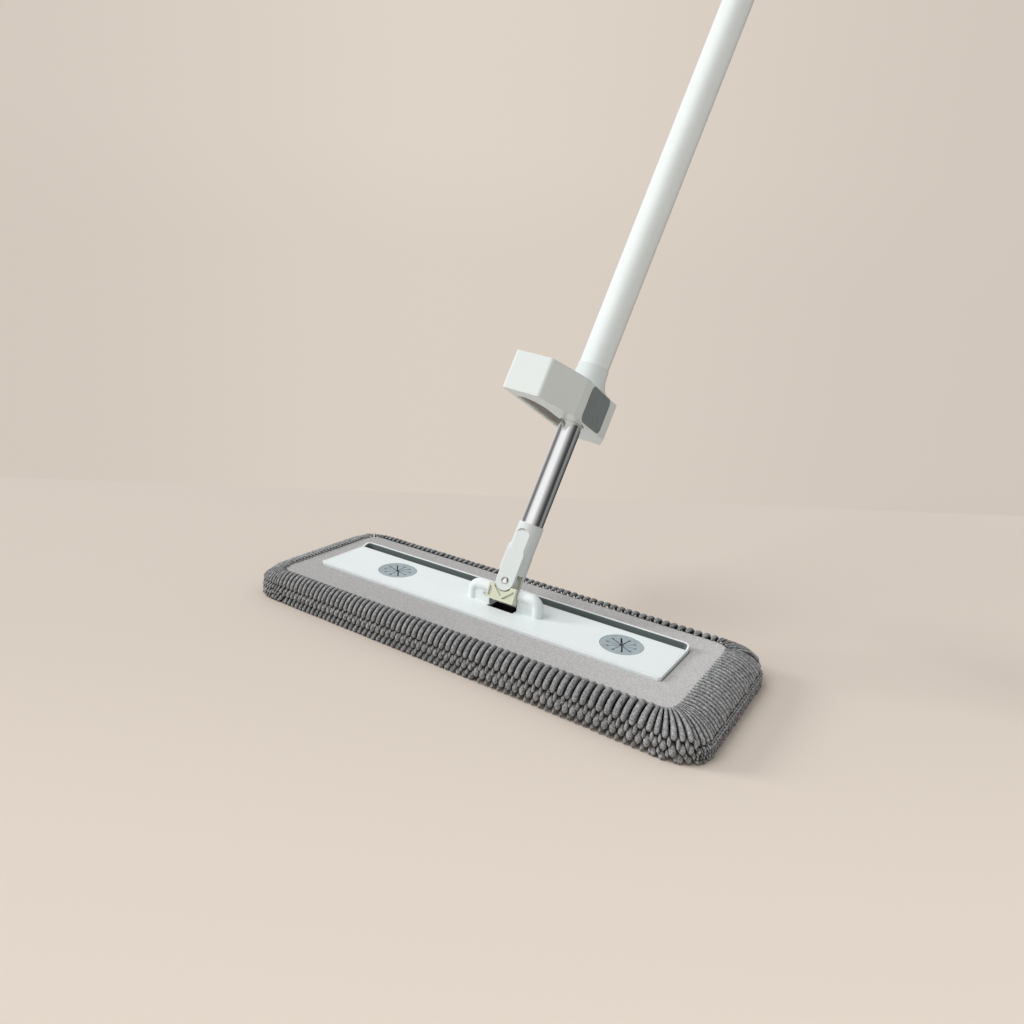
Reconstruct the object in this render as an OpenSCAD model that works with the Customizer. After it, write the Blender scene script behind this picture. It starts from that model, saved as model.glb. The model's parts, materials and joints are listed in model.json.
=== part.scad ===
// Self-wringing flat mop with a chenille pad. The head lies along X, its front looks to -Y,
// the floor is z = 0, and the pole leans back to +Y. Sizes are in millimetres, angles in degrees.

/* [Pad] */
// Length of the pad's core, along the head
core_length = 368; // [364:1:400]
// Width of the pad's core, front to back
core_width = 124; // [120:1:140]
// Corner radius of the core, seen from above
core_corner_r = 20; // [18:1:26]
// Height of the chenille sole under the core
sole_height = 12; // [11:0.5:20]
// Thickness of the core under the board
core_floor = 5.4; // [3:0.1:10]
// Thickness of the pocket fabric over the board
fabric_thickness = 1.4; // [0.8:0.1:2]
// How far the chenille fingers reach past the core's long sides
side_reach = 17; // [14:0.1:20]
// How far the chenille fingers reach past the core's two ends
end_reach = 25; // [18:0.1:30]
// Corner radius of the chenille's outer outline, seen from above
outer_corner_r = 28; // [22:1:34]
// Pitch of the fingers along the long sides
long_side_pitch = 7; // [6.8:0.1:9]
// Pitch of the fingers along the two ends
end_pitch = 4.7; // [4.5:0.1:6]
// Space between neighbouring fingers
finger_gap = 0.6; // [0.4:0.1:1]

/* [Board and deck] */
// Distance from the core's edge to the base board inside the pocket
board_margin = 12; // [10:0.5:15]
// Thickness of the base board
board_height = 5.8; // [5:0.1:8]
// Mean distance from the core's two ends to the deck that shows in the pocket's window
deck_margin = 22.5; // [20:0.5:32]
// How far the deck's middle lies to the left of the pad's middle
deck_shift = 2.5; // [0:0.5:5]
// Distance from the hinge line to the deck's front edge
deck_front = 29; // [26:0.5:34]
// Distance from the hinge line to the deck's rear edge
deck_back = 34; // [32:0.5:38]
// Height of the deck above the base board
deck_height = 4; // [3.6:0.1:5]
// Width of the rim around the deck
rim_width = 1.5; // [1:0.1:2.2]
// Width of the channel along the deck's rear edge
channel_width = 7.4; // [6:0.1:9]
// Height of the lip behind the channel, over the deck
deck_lip = 2.4; // [0:0.1:3]
// Diameter of the star-cut rubber grippers
gripper_d = 34; // [30:0.5:38]
// Distance from the deck's end to a gripper's centre
gripper_inset = 53; // [40:0.5:60]
// Thickness of a gripper's flange
gripper_flange = 1.5; // [1:0.1:2]

/* [Double hinge] */
// Distance of the joint from the head's middle
joint_x = 11.5; // [0:0.5:14]
// Height of the tilt axis above the deck
hinge_height = 11; // [11:0.1:14]
// Distance from the tilt axis to the fork pin
fork_pin_rise = 10; // [9.6:0.1:12]
// Diameter of the tilt pin through the lugs
tilt_pin_d = 5; // [4:0.1:5.6]
// Diameter of the rivet through the fork
rivet_d = 4; // [3:0.1:5]
// Width of the swivel block, between the lugs
block_width = 25.6; // [24:0.2:30]
// Depth of the swivel block, front to back
block_depth = 17.2; // [16:0.1:18]
// Thickness of the block's tongue, between the fork arms
tongue_thickness = 9.6; // [8:0.1:10.4]
// Length of one arched lug
lug_length = 22; // [20:0.5:30]
// Diameter of a lug's rounded bar
lug_bar_d = 9; // [8:0.1:9.6]
// Lean of the pole to the rear as it stands
tilt_rest = 24.5; // [0:0.5:40]
// Lean of the pole to the right as it stands
swing_rest = 5.15; // [0:0.05:20]

/* [Connector and tubes] */
// Diameter of the fork connector
connector_d = 21; // [20.6:0.1:24]
// Distance from the fork pin to the connector's top
connector_length = 50; // [46:0.5:70]
// Distance between the fork's two flat outer faces
fork_depth = 17; // [16:0.1:18.6]
// Radius of the fork arms' round ends
arm_r = 8; // [7:0.1:8.6]
// Outer diameter of the steel tube
steel_tube_d = 19; // [17:0.1:19.4]
// Wall of the steel tube
steel_wall = 0.5; // [0.4:0.1:1.2]
// Length of the steel tube
steel_tube_length = 560; // [400:5:900]
// Outer diameter of the white tube
outer_tube_d = 25; // [24.6:0.1:28]
// Wall of the white tube
outer_wall = 0.7; // [0.6:0.1:1.4]
// Length of the white tube
outer_tube_length = 660; // [560:5:1100]
// Length of the hand grip
grip_length = 150; // [100:5:200]
// Diameter of the hand grip
grip_d = 29; // [28:0.5:36]
// Diameter of the hanging hole in the end cap
hang_hole_d = 10; // [6:0.5:12]

/* [Wringer] */
// Distance from the fork pin to the wringer's underside, along the pole
wringer_place = 139.3; // [120:0.1:200]
// Length of the wringer, front to back
wringer_length = 132; // [124:1:150]
// Depth of the wringer from the tube's axis to its far wall
wringer_depth = 34; // [33:0.5:40]
// Depth of the hump in front of the tube's axis
hump_depth = 16.5; // [15:0.5:20]
// Length of the hump's flat face
hump_length = 66; // [50:1:80]
// Height of the wringer along the pole
wringer_height = 31; // [26:0.5:40]
// Wall of the wringer
wringer_wall = 2.4; // [1.8:0.1:3]
// Length of the slot that the pad is pulled through
slot_length = 99; // [90:1:106]
// Width of the slot
slot_width = 19.8; // [16:0.1:20]
// Thickness of the scraper blades
blade_thickness = 1.6; // [1:0.1:2]
// Length of the grip patch on the hump
patch_length = 39.5; // [30:0.5:44]
// Reach of the flared foot past the white tube
flare_reach = 6; // [4:0.5:14]
// Height of the flared foot
flare_height = 18; // [16:0.5:30]

/* [Hidden] */
$fn = 72;

// Clearances
running = 0.06;
seat = 0.02;
side_gap = 0.3;
past = 1;

// Heights of the head's layers
core_top = sole_height + core_floor + board_height;
board_bottom = sole_height + core_floor;
deck_top = core_top + deck_height;
hinge_z = deck_top + hinge_height;

// Board and deck
board_length = core_length - 2 * board_margin;
board_width = core_width - 2 * board_margin;
deck_length = core_length - 2 * deck_margin;
gripper_spacing = deck_length - 2 * gripper_inset;
board_r = 12;
deck_r = 6;
deck_front_r = 2.5;
deck_left = -deck_length / 2 - deck_shift;
deck_right = deck_length / 2 - deck_shift;
lip_land = 3;
panel_skin = 2.4;
panel_wall = 1.6;
pocket_inset = 0.5;
window_play = 0.6;
panel_play = 0.05;
cutout_x = block_width / 2 - 0.5;
cutout_y = 8;
cutout_floor = 1.4;
liner_floor = 1.2;
liner_wall = 0.9;
liner_drop = 0.5;
gripper_drop = 0.3;
gripper_lip = 2;
gripper_y = 1;
gripper_mid_x = 7.3;
gripper_play = 0.1;
gripper_flange_reach = 1.4;
gripper_rim = 3;
gripper_skin = 1.8;
gripper_hole_r = 1.6;
well_depth = 3.8;
slit_count = 10;
slit_turn = 9;
slit_width = 0.8;
slit_start = 3;
slit_reach = 0.66;
screw_r = 1.4;
screw_head_r = 2.6;
screw_head_h = 1.6;
screw_play = 0.1;
head_play = 0.2;
deck_screw_reach = 2.4;
boss_r = 3;
boss_drop = 0.5;
deck_screw_x = [0.46, 0.2];
deck_screw_edge = 5.5;

// Double hinge
lug_face = block_width / 2 + 0.4;
lug_bar_r = lug_bar_d / 2;
lug_top = 6.5;
lug_bend_r = 6;
lug_sink = 0.5;
web_half = 3.2;
pin_overlap = 10;
pin_end_play = 0.3;
set_screw_r = 0.9;
set_screw_head_r = 1.4;
set_screw_head_h = 0.5;
set_screw_drop = 3.6;
set_screw_tip = 0.2;
block_up = 6;
block_down = 6.8;
rib_depth = 1.2;
rib_width = 1.5;
rib_rise = 2.2;
rib_slant = 3.2;
tongue_r = 6.5;
bush_wall = 1.5;
bush_r = rivet_d / 2 + bush_wall;
fork_slot = tongue_thickness + 0.4;
arm_clearance = 0.6;
fork_top = 7.6;
rivet_head_r = 3.5;
rivet_head_h = 1.7;
collar_height = 5.4;
flat_top = connector_length - collar_height;
flat_round = 0.2;
socket_depth = 4;
spigot_length = 24;
plate_top = 30;
tab_length = 23.5;
tab_out = 1.4;
tab_half = 3.2;

// Tubes
steel_r = steel_tube_d / 2;
steel_bore_r = steel_r - steel_wall;
outer_r = outer_tube_d / 2;
outer_bore_r = outer_r - outer_wall;
steel_bottom = connector_length - socket_depth;
steel_top = steel_bottom + steel_tube_length;
guide_plug = 20;
guide_flange = 8;
bush_length = 30;
bush_flange = 1.5;
bush_sink = 1.1;
ring_r = 1.1;
ring_bite = 0.8;
ring_play = 0.05;
ring_bore_play = 0.03;
grip_rings = 9;
grip_end = 8;
grip_groove = 0.8;
cap_plug = 16;
cap_flange = 4;
cap_step = 0.5;
eye_r = outer_r - cap_step;
eye_rise = 17;
eye_thickness = 8;

// Wringer
wringer_top = wringer_place + wringer_height;
outer_bottom = wringer_top - bush_sink + bush_flange;
outer_top = outer_bottom + outer_tube_length;
plate_thickness = 2.6;
cover_z = wringer_height - plate_thickness;
cover_play = 0.05;
corner_r = 3.2;
least_corner_r = 0.8;
corner_steps = 5;
slot_far = wringer_depth - 4;
slot_near = slot_far - slot_width;
slot_end_in = 2;
slot_bulge = 8;
slot_taper = [4, 5];
slot_taper_length = 19;
slot_corner_r = 1.2;
slot_corner_steps = 3;
duct_wall = 1.8;
tube_clear = 0.8;
collar_wall = 0.6;
patch_depth = 0.8;
patch_proud = 0.2;
patch_margin = 0.5;
patch_play = 0.1;
patch_r = 5;
wringer_boss_r = 3.2;
wringer_screw_w = -13;
wringer_boss_gap = 1;
wringer_screw_s = wringer_length / 2 - wringer_wall - wringer_boss_r - wringer_boss_gap;
wringer_screw_step = 17;
wringer_screw_length = 12;
wringer_head_sink = 1;
wringer_head_h = 0.8;
flare_inset = 0.3;
flare_turn = 9;
blade_gap = 1.5;
blade_end = 2;
near_blade_end = 20;

// Chenille fingers: stations as [distance out from the core, height, thickness, width].
// A long finger bends down over the edge, and two rows of short tips stand under it.
band = 3;
band_bottom = 2;
finger_root = 1.5;
corner_fingers = 10;
knee_share = 0.62;
tip_share = 0.86;
function long_line(reach, root_w, w) = [
    [finger_root, core_top - 2.3, 4.2, root_w],
    [knee_share * reach, core_top - 3.6, 5, w],
    [reach - 1.9, 9.8, 3.6, tip_share * w]];
function upper_tip_line(reach, root_w, w) = [
    [finger_root, 9.2, 4.4, root_w],
    [reach - 1.2, 5.9, 3.2, tip_share * w]];
function lower_tip_line(reach, root_w, w) = [
    [finger_root, 3.9, 3.6, root_w],
    [reach - 0.6, 1.7, 2.8, tip_share * w]];
side_straight_x = core_length / 2 - core_corner_r;
side_straight_y = core_width / 2 - core_corner_r;

// Colours
c_white = [0.93, 0.95, 0.95];
c_shell = [0.86, 0.89, 0.87];
c_cream = [0.83, 0.84, 0.72];
c_dark = [0.25, 0.28, 0.29];
c_rubber = [0.5, 0.54, 0.55];
c_patch = [0.4, 0.42, 0.42];
c_steel = [0.75, 0.75, 0.77];
c_chenille = [0.42, 0.42, 0.43];
c_fabric = [0.62, 0.6, 0.6];

// Places the pieces that turn with the swivel block
module at_tilt() {
    translate([joint_x, 0, hinge_z]) rotate([-tilt_rest, 0, 0]) children();
}

// Places the pieces on the pole: z runs up the pole from the fork pin, y along the fork pin
module at_fork() {
    at_tilt() translate([0, 0, fork_pin_rise]) rotate([0, swing_rest, 0]) children();
}

module at_wringer() {
    at_fork() translate([0, 0, wringer_place]) children();
}

// Outline helpers
function unit(v) = v / norm(v);
function wrap(points, i) = points[(i + len(points)) % len(points)];
function to_previous(points, i) = unit(wrap(points, i - 1) - points[i]);
function to_next(points, i) = unit(wrap(points, i + 1) - points[i]);
function half_angle(points, i) = acos(to_previous(points, i) * to_next(points, i)) / 2;
function middle_line(points, i) = unit(to_previous(points, i) + to_next(points, i));
function inset(points, d) = [
    for (i = [0 : len(points) - 1])
        points[i] + middle_line(points, i) * d / sin(half_angle(points, i))];
function corner_start(points, i, r) = points[i] + to_previous(points, i) * r / tan(half_angle(points, i));
function corner_centre(points, i, r) = points[i] + middle_line(points, i) * r / sin(half_angle(points, i));
function corner_arc(points, i, r, steps) =
    let (c = corner_centre(points, i, r))
    let (d = corner_start(points, i, r) - c)
    let (a = atan2(d[1], d[0]))
    let (sweep = 180 - 2 * half_angle(points, i))
    [for (k = [0 : steps]) c + r * [cos(a + sweep * k / steps), sin(a + sweep * k / steps)]];
function rounded(points, r, steps) = [
    for (i = [0 : len(points) - 1]) each corner_arc(points, i, r, steps)];

module rounded_rect(length, width, r) {
    square([length - 2 * r, width], center = true);
    square([length, width - 2 * r], center = true);
    for (x = [-1, 1], y = [-1, 1]) {
        translate([x * (length / 2 - r), y * (width / 2 - r)]) circle(r = r);
    }
}

module rounded_slab(length, width, r, z0, z1) {
    translate([0, 0, z0]) linear_extrude(z1 - z0) rounded_rect(length, width, r);
}

// Pad
module core_outline(out) {
    rounded_rect(core_length + 2 * out, core_width + 2 * out, core_corner_r + out);
}

module pad_core() {
    color(c_fabric)
    difference() {
        translate([0, 0, sole_height]) linear_extrude(core_top - sole_height) core_outline(0);
        rounded_slab(board_length + 2 * side_gap, board_width + 2 * side_gap, board_r + side_gap,
                     board_bottom, core_top + past);
    }
}

module chenille_sole() {
    color(c_chenille) linear_extrude(sole_height) core_outline(0);
}

module pad_pocket() {
    color(c_fabric)
    difference() {
        translate([0, 0, core_top]) linear_extrude(fabric_thickness) core_outline(-pocket_inset);
        translate([0, 0, core_top - past]) linear_extrude(fabric_thickness + 2 * past)
            deck_outline(window_play);
    }
}

// One chenille finger. Local x runs out from the core, y along the pad's edge, z up.
function line_turn(line, k) =
    let (a = line[max(k - 1, 0)])
    let (b = line[min(k + 1, len(line) - 1)])
    unit([b[0] - a[0], b[1] - a[1]]);
function square_ring(line, k) =
    let (t = line_turn(line, k))
    let (h = line[k][2] / 2)
    let (w = line[k][3] / 2)
    [for (s = [[1, 1], [-1, 1], [-1, -1], [1, -1]])
        [line[k][0] - t[1] * h * s[1], w * s[0], line[k][1] + t[0] * h * s[1]]];
function three_ring(line, k) =
    let (t = line_turn(line, k))
    let (h = line[k][2] / 2)
    let (w = line[k][3] / 2)
    [for (s = [[0, 1], [-1, -1], [1, -1]])
        [line[k][0] - t[1] * h * s[1], w * s[0], line[k][1] + t[0] * h * s[1]]];
function tube_walls(sides, rings) = [
    for (k = [0 : rings - 2], i = [0 : sides - 1])
        let (a = k * sides + i)
        let (b = k * sides + (i + 1) % sides)
        each [[a, b + sides, b], [a, a + sides, b + sides]]];
function fan(sides, first, turn) = [
    for (i = [1 : sides - 2])
        turn ? [first, first + i + 1, first + i] : [first, first + i, first + i + 1]];

module strand(rings, sides) {
    count = len(rings);
    polyhedron(points = [for (ring = rings) each ring],
               faces = concat(tube_walls(sides, count),
                              fan(sides, 0, false),
                              fan(sides, (count - 1) * sides, true)));
}

module long_finger(line) {
    strand([for (k = [0 : len(line) - 1]) square_ring(line, k)], 4);
}

module short_finger(line) {
    strand([for (k = [0 : len(line) - 1]) three_ring(line, k)], 3);
}

module finger_stack(reach, root_w, w) {
    long_finger(long_line(reach, root_w, w));
    short_finger(upper_tip_line(reach, root_w, w));
    short_finger(lower_tip_line(reach, root_w, w));
}

function side_count(straight, pitch) = floor(2 * straight / pitch);

// A straight row of fingers along one side; the side faces the angle given
module finger_row(straight, distance, pitch, reach, facing) {
    count = side_count(straight, pitch);
    step = 2 * straight / count;
    w = step - finger_gap;
    rotate([0, 0, facing])
    for (i = [0 : count - 1]) {
        translate([distance, -straight + (i + 0.5) * step, 0]) finger_stack(reach, tip_share * w, w);
    }
}

// How far a corner finger reaches to stay in the outer outline; its angle is 0 beside the long side
function corner_reach(angle) =
    let (d = [cos(angle), sin(angle)])
    let (outer = [core_corner_r + side_reach, core_corner_r + end_reach])
    let (c = outer - [outer_corner_r, outer_corner_r])
    let (to_edge = min(outer[0] / d[0], outer[1] / d[1]))
    let (in_arc = to_edge * d[0] > c[0] && to_edge * d[1] > c[1])
    let (to_arc = c * d + sqrt(max(pow(c * d, 2) - c * c + outer_corner_r * outer_corner_r, 0)))
    (in_arc ? to_arc : to_edge) - core_corner_r;

// The fan of fingers round one corner
module finger_corner(side_x, facing) {
    turn = 90 / corner_fingers;
    root_arc = (core_corner_r + finger_root) * PI * turn / 180;
    knee_arc = (core_corner_r + knee_share * side_reach) * PI * turn / 180;
    for (i = [0 : corner_fingers - 1]) {
        reach = corner_reach((i + 0.5) * turn);
        translate([side_x * side_straight_x, facing * side_straight_y, 0])
        rotate([0, 0, 90 * facing - side_x * facing * (i + 0.5) * turn])
        translate([core_corner_r, 0, 0])
            finger_stack(reach, root_arc - finger_gap, knee_arc - finger_gap);
    }
}

module edge_band(x0, x1, y0, y1) {
    intersection() {
        difference() {
            translate([0, 0, band_bottom]) linear_extrude(core_top - band_bottom) core_outline(band);
            translate([0, 0, band_bottom - past]) linear_extrude(core_top) core_outline(0);
        }
        translate([x0, y0, 0]) cube([x1 - x0, y1 - y0, core_top + past]);
    }
}

module long_skirt(facing) {
    reach_x = core_length / 2 + band + past;
    reach_y = core_width / 2 + band + past;
    edge_band(-reach_x, reach_x,
              facing > 0 ? side_straight_y : -reach_y,
              facing > 0 ? reach_y : -side_straight_y);
    finger_row(side_straight_x, core_width / 2, long_side_pitch, side_reach, 90 * facing);
    finger_corner(-1, facing);
    finger_corner(1, facing);
}

module end_skirt(facing) {
    reach_x = core_length / 2 + band + past;
    edge_band(facing > 0 ? side_straight_x : -reach_x,
              facing > 0 ? reach_x : -side_straight_x,
              -side_straight_y, side_straight_y);
    finger_row(side_straight_y, core_length / 2, end_pitch, end_reach, facing > 0 ? 0 : 180);
}

module chenille_front() {
    color(c_chenille) union() long_skirt(-1);
}

module chenille_back() {
    color(c_chenille) union() long_skirt(1);
}

module chenille_left() {
    color(c_chenille) union() end_skirt(-1);
}

module chenille_right() {
    color(c_chenille) union() end_skirt(1);
}

// Board and deck
function deck_screw_places() = [
    for (x = deck_screw_x, sx = [-1, 1], sy = [-1, 1])
        [sx * x * deck_length - deck_shift,
         sy > 0 ? deck_panel_back() - deck_screw_edge : deck_screw_edge - deck_front]];
function deck_panel_back() = deck_back - rim_width - channel_width;
function gripper_x(side) = gripper_mid_x + side * gripper_spacing / 2;

module base_board() {
    color(c_dark)
    difference() {
        rounded_slab(board_length, board_width, board_r, board_bottom, core_top);
        for (side = [-1, 1]) {
            translate([gripper_x(side), gripper_y, core_top - well_depth])
                cylinder(r = gripper_d / 2 - gripper_lip, h = well_depth + past);
        }
        translate([joint_x - cutout_x, -cutout_y, board_bottom + cutout_floor])
            cube([2 * cutout_x, 2 * cutout_y, board_height]);
        for (p = deck_screw_places()) {
            translate([p[0], p[1], board_bottom - past])
                cylinder(r = screw_r + screw_play, h = board_height + 2 * past);
            translate([p[0], p[1], board_bottom - past])
                cylinder(r = screw_head_r + head_play, h = screw_head_h + head_play + past);
        }
    }
}

// The deck seen from above: nearly sharp corners in front, round corners behind
module deck_outline(out) {
    left = deck_left - out;
    right = deck_right + out;
    front = -deck_front - out;
    back = deck_back + out;
    front_r = max(deck_front_r + out, least_corner_r);
    back_r = max(deck_r + out, least_corner_r);
    translate([left + front_r, front]) square([right - left - 2 * front_r, front_r + past]);
    translate([left, front + front_r]) square([right - left, back - front - front_r - back_r]);
    translate([left + back_r, back - back_r - past]) square([right - left - 2 * back_r, back_r + past]);
    for (x = [left + front_r, right - front_r]) {
        translate([x, front + front_r]) circle(r = front_r);
    }
    for (x = [left + back_r, right - back_r]) {
        translate([x, back - back_r]) circle(r = back_r);
    }
}

// The space under the deck's top: level over the panel, and rising over the channel to the rear lip
module below_lip(drop) {
    low = deck_height - drop;
    rotate([90, 0, 90]) linear_extrude(2 * deck_length, center = true)
        polygon([[-2 * deck_front, -past],
                 [2 * deck_back, -past],
                 [2 * deck_back, low + deck_lip],
                 [deck_back - lip_land, low + deck_lip],
                 [deck_panel_back(), low],
                 [-2 * deck_front, low]]);
}

module deck_frame() {
    color(c_white)
    translate([0, 0, core_top])
    intersection() {
        linear_extrude(deck_height + deck_lip) difference() {
            deck_outline(0);
            deck_outline(-rim_width);
        }
        below_lip(0);
    }
}

module panel_outline(out) {
    intersection() {
        deck_outline(-rim_width - panel_play + out);
        translate([-deck_length, -2 * deck_front])
            square([2 * deck_length, 2 * deck_front + deck_panel_back() + out]);
    }
}

// One arched lug; it starts at the block and bends down to the deck at its outer end
module lug() {
    bend_x = lug_face + lug_length - lug_bar_r - lug_bend_r;
    bar_z = lug_top - lug_bar_r;
    foot = -hinge_height - lug_sink;
    translate([lug_face, 0, bar_z]) rotate([0, 90, 0]) cylinder(r = lug_bar_r, h = bend_x - lug_face);
    translate([bend_x, 0, bar_z - lug_bend_r]) rotate([90, 0, 0])
        rotate_extrude(angle = 90) translate([lug_bend_r, 0]) circle(r = lug_bar_r);
    translate([bend_x + lug_bend_r, 0, foot]) cylinder(r = lug_bar_r, h = bar_z - lug_bend_r - foot);
    translate([lug_face, -web_half, foot])
        cube([bend_x + lug_bend_r - lug_face, 2 * web_half, bar_z - foot]);
}

module deck_panel() {
    pin_reach = lug_face + pin_overlap;
    color(c_white)
    difference() {
        union() {
            translate([0, 0, deck_top - panel_skin]) linear_extrude(panel_skin) panel_outline(0);
            translate([0, 0, core_top]) linear_extrude(deck_height) difference() {
                panel_outline(0);
                panel_outline(-panel_wall);
            }
            for (p = deck_screw_places()) {
                translate([p[0], p[1], core_top]) cylinder(r = boss_r, h = deck_height - boss_drop);
            }
            for (side = [0, 1]) {
                translate([joint_x, 0, hinge_z]) mirror([side, 0, 0]) lug();
            }
        }
        for (side = [-1, 1]) {
            translate([gripper_x(side), gripper_y, core_top - past])
                cylinder(r = gripper_d / 2, h = deck_height + 2 * past);
        }
        for (p = deck_screw_places()) {
            translate([p[0], p[1], core_top - past])
                cylinder(r = screw_r + seat, h = deck_screw_reach + head_play + past);
        }
        translate([joint_x - cutout_x, -cutout_y, core_top - past])
            cube([2 * cutout_x, 2 * cutout_y, deck_height + 2 * past]);
        translate([joint_x - pin_reach, 0, hinge_z]) rotate([0, 90, 0])
            cylinder(r = tilt_pin_d / 2 + seat, h = 2 * pin_reach);
        translate(set_screw_place()) rotate([90, 0, 0])
            cylinder(r = set_screw_r + seat, h = web_half + past);
    }
}

function set_screw_place() = [joint_x - lug_face - pin_overlap / 2, 0, hinge_z - set_screw_drop];

module channel_liner() {
    color(c_dark)
    translate([0, 0, core_top])
    difference() {
        intersection() {
            linear_extrude(deck_height + deck_lip) channel_outline(0);
            below_lip(liner_drop);
        }
        translate([0, 0, liner_floor]) linear_extrude(deck_height + deck_lip)
            channel_outline(-liner_wall);
    }
}

module channel_outline(out) {
    intersection() {
        deck_outline(-rim_width - panel_play + out);
        translate([-deck_length, deck_panel_back() + panel_play - out])
            square([2 * deck_length, 2 * channel_width]);
    }
}

// A rubber disc with a star of slits, held by its flange between board and panel
module gripper(side) {
    r = gripper_d / 2 - gripper_play;
    top = deck_height - gripper_drop;
    color(c_rubber)
    translate([gripper_x(side), gripper_y, core_top])
    difference() {
        union() {
            cylinder(r = r, h = top);
            cylinder(r = r + gripper_flange_reach, h = min(gripper_flange, deck_height - panel_skin));
        }
        translate([0, 0, -past]) cylinder(r = r - gripper_rim, h = past + top - gripper_skin);
        for (i = [0 : slit_count - 1]) {
            rotate([0, 0, i * 360 / slit_count + slit_turn])
            translate([slit_start, -slit_width / 2, -past])
                cube([slit_reach * r - slit_start, slit_width, deck_height + 2 * past]);
        }
        translate([0, 0, -past]) cylinder(r = gripper_hole_r, h = deck_height + 2 * past);
    }
}

module left_gripper() {
    gripper(-1);
}

module right_gripper() {
    gripper(1);
}

module deck_screws() {
    color(c_steel)
    for (p = deck_screw_places()) {
        translate([p[0], p[1], board_bottom + head_play]) union() {
            cylinder(r = screw_head_r, h = screw_head_h);
            cylinder(r = screw_r, h = board_height - head_play + deck_screw_reach);
        }
    }
}

module tilt_pin() {
    half = lug_face + pin_overlap - pin_end_play;
    color(c_steel)
    translate([joint_x - half, 0, hinge_z]) rotate([0, 90, 0]) cylinder(r = tilt_pin_d / 2, h = 2 * half);
}

// Small screw in the left lug's web; it keeps the tilt pin from creeping out
module pin_set_screw() {
    color(c_steel)
    translate(set_screw_place()) rotate([90, 0, 0]) {
        translate([0, 0, set_screw_tip]) cylinder(r = set_screw_r, h = web_half - set_screw_tip);
        translate([0, 0, web_half]) cylinder(r = set_screw_head_r, h = set_screw_head_h);
    }
}

// Swivel block with its tongue, in the tilt frame
module rib_pockets() {
    left = -block_width / 2 + rib_width;
    low = rib_rise - block_down;
    high = block_up - rib_width;
    side_high = high - rib_width / 2;
    linear_extrude(rib_depth + past) {
        polygon([[left, low], [-rib_width, low], [left, side_high]]);
        polygon([[-left, low], [-left, side_high], [rib_width, low]]);
        polygon([[0, low + rib_width], [-left - rib_slant, high], [left + rib_slant, high]]);
    }
}

module swivel_block() {
    color(c_cream)
    at_tilt()
    difference() {
        union() {
            translate([-block_width / 2, -block_depth / 2, -block_down])
                cube([block_width, block_depth, block_down + block_up]);
            translate([-tongue_r, -tongue_thickness / 2, 0])
                cube([2 * tongue_r, tongue_thickness, fork_pin_rise]);
            translate([0, tongue_thickness / 2, fork_pin_rise]) rotate([90, 0, 0])
                cylinder(r = tongue_r, h = tongue_thickness);
        }
        for (side = [0, 1]) {
            mirror([0, side, 0]) {
                translate([0, -tongue_thickness / 2, fork_pin_rise]) rotate([90, 0, 0])
                    cylinder(r = arm_r + arm_clearance, h = block_depth);
                translate([0, -block_depth / 2 + rib_depth, 0]) rotate([90, 0, 0]) rib_pockets();
            }
        }
        translate([-block_width, 0, 0]) rotate([0, 90, 0])
            cylinder(r = tilt_pin_d / 2 + running, h = 2 * block_width);
        translate([0, block_depth, fork_pin_rise]) rotate([90, 0, 0])
            cylinder(r = bush_r + seat, h = 2 * block_depth);
    }
}

module pivot_bush() {
    color(c_white)
    at_tilt()
    translate([0, tongue_thickness / 2, fork_pin_rise]) rotate([90, 0, 0])
    difference() {
        cylinder(r = bush_r, h = tongue_thickness);
        translate([0, 0, -past]) cylinder(r = rivet_d / 2 + running, h = tongue_thickness + 2 * past);
    }
}

// Fork connector, with its origin at the fork pin
module fork_connector() {
    r = connector_d / 2;
    flat_r = sqrt(r * r - fork_depth * fork_depth / 4);
    color(c_white)
    at_fork()
    difference() {
        union() {
            translate([0, 0, fork_top]) cylinder(r = r, h = connector_length - fork_top);
            translate([-arm_r, -fork_depth / 2, 0]) cube([2 * arm_r, fork_depth, plate_top - arm_r]);
            translate([0, fork_depth / 2, 0]) rotate([90, 0, 0]) cylinder(r = arm_r, h = fork_depth);
            translate([0, fork_depth / 2, plate_top - arm_r]) rotate([90, 0, 0])
                cylinder(r = arm_r, h = fork_depth);
            translate([-r - tab_out, -tab_half, fork_top]) cube([r, 2 * tab_half, tab_length - tab_half]);
            translate([-r - tab_out, 0, fork_top + tab_length - tab_half]) rotate([0, 90, 0])
                cylinder(r = tab_half, h = r);
            translate([0, 0, steel_bottom]) cylinder(r = steel_bore_r - seat, h = spigot_length);
        }
        for (side = [0, 1]) {
            mirror([0, side, 0]) {
                translate([-r - past, fork_depth / 2, fork_top - past])
                    cube([2 * r + 2 * past, r, flat_top - flat_r - fork_top + past]);
                translate([0, fork_depth / 2 + r, flat_top - flat_r]) rotate([90, 0, 0])
                    cylinder(r = flat_r + flat_round, h = r);
            }
        }
        translate([-r - past, -fork_slot / 2, -arm_r - past])
            cube([2 * r + 2 * past, fork_slot, arm_r + past + fork_top]);
        translate([0, fork_depth, 0]) rotate([90, 0, 0]) cylinder(r = rivet_d / 2 + seat, h = 2 * fork_depth);
        translate([0, 0, steel_bottom]) difference() {
            cylinder(r = steel_r + seat, h = socket_depth + past);
            translate([0, 0, -past]) cylinder(r = steel_bore_r - seat, h = socket_depth + 3 * past);
        }
    }
}

// Rivet with a domed head on both sides of the fork
module rivet_head() {
    ball_r = (rivet_head_r * rivet_head_r + rivet_head_h * rivet_head_h) / 2 / rivet_head_h;
    translate([0, 0, fork_depth / 2])
    intersection() {
        translate([0, 0, rivet_head_h - ball_r]) sphere(r = ball_r);
        cylinder(r = ball_r, h = rivet_head_h + past);
    }
}

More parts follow.
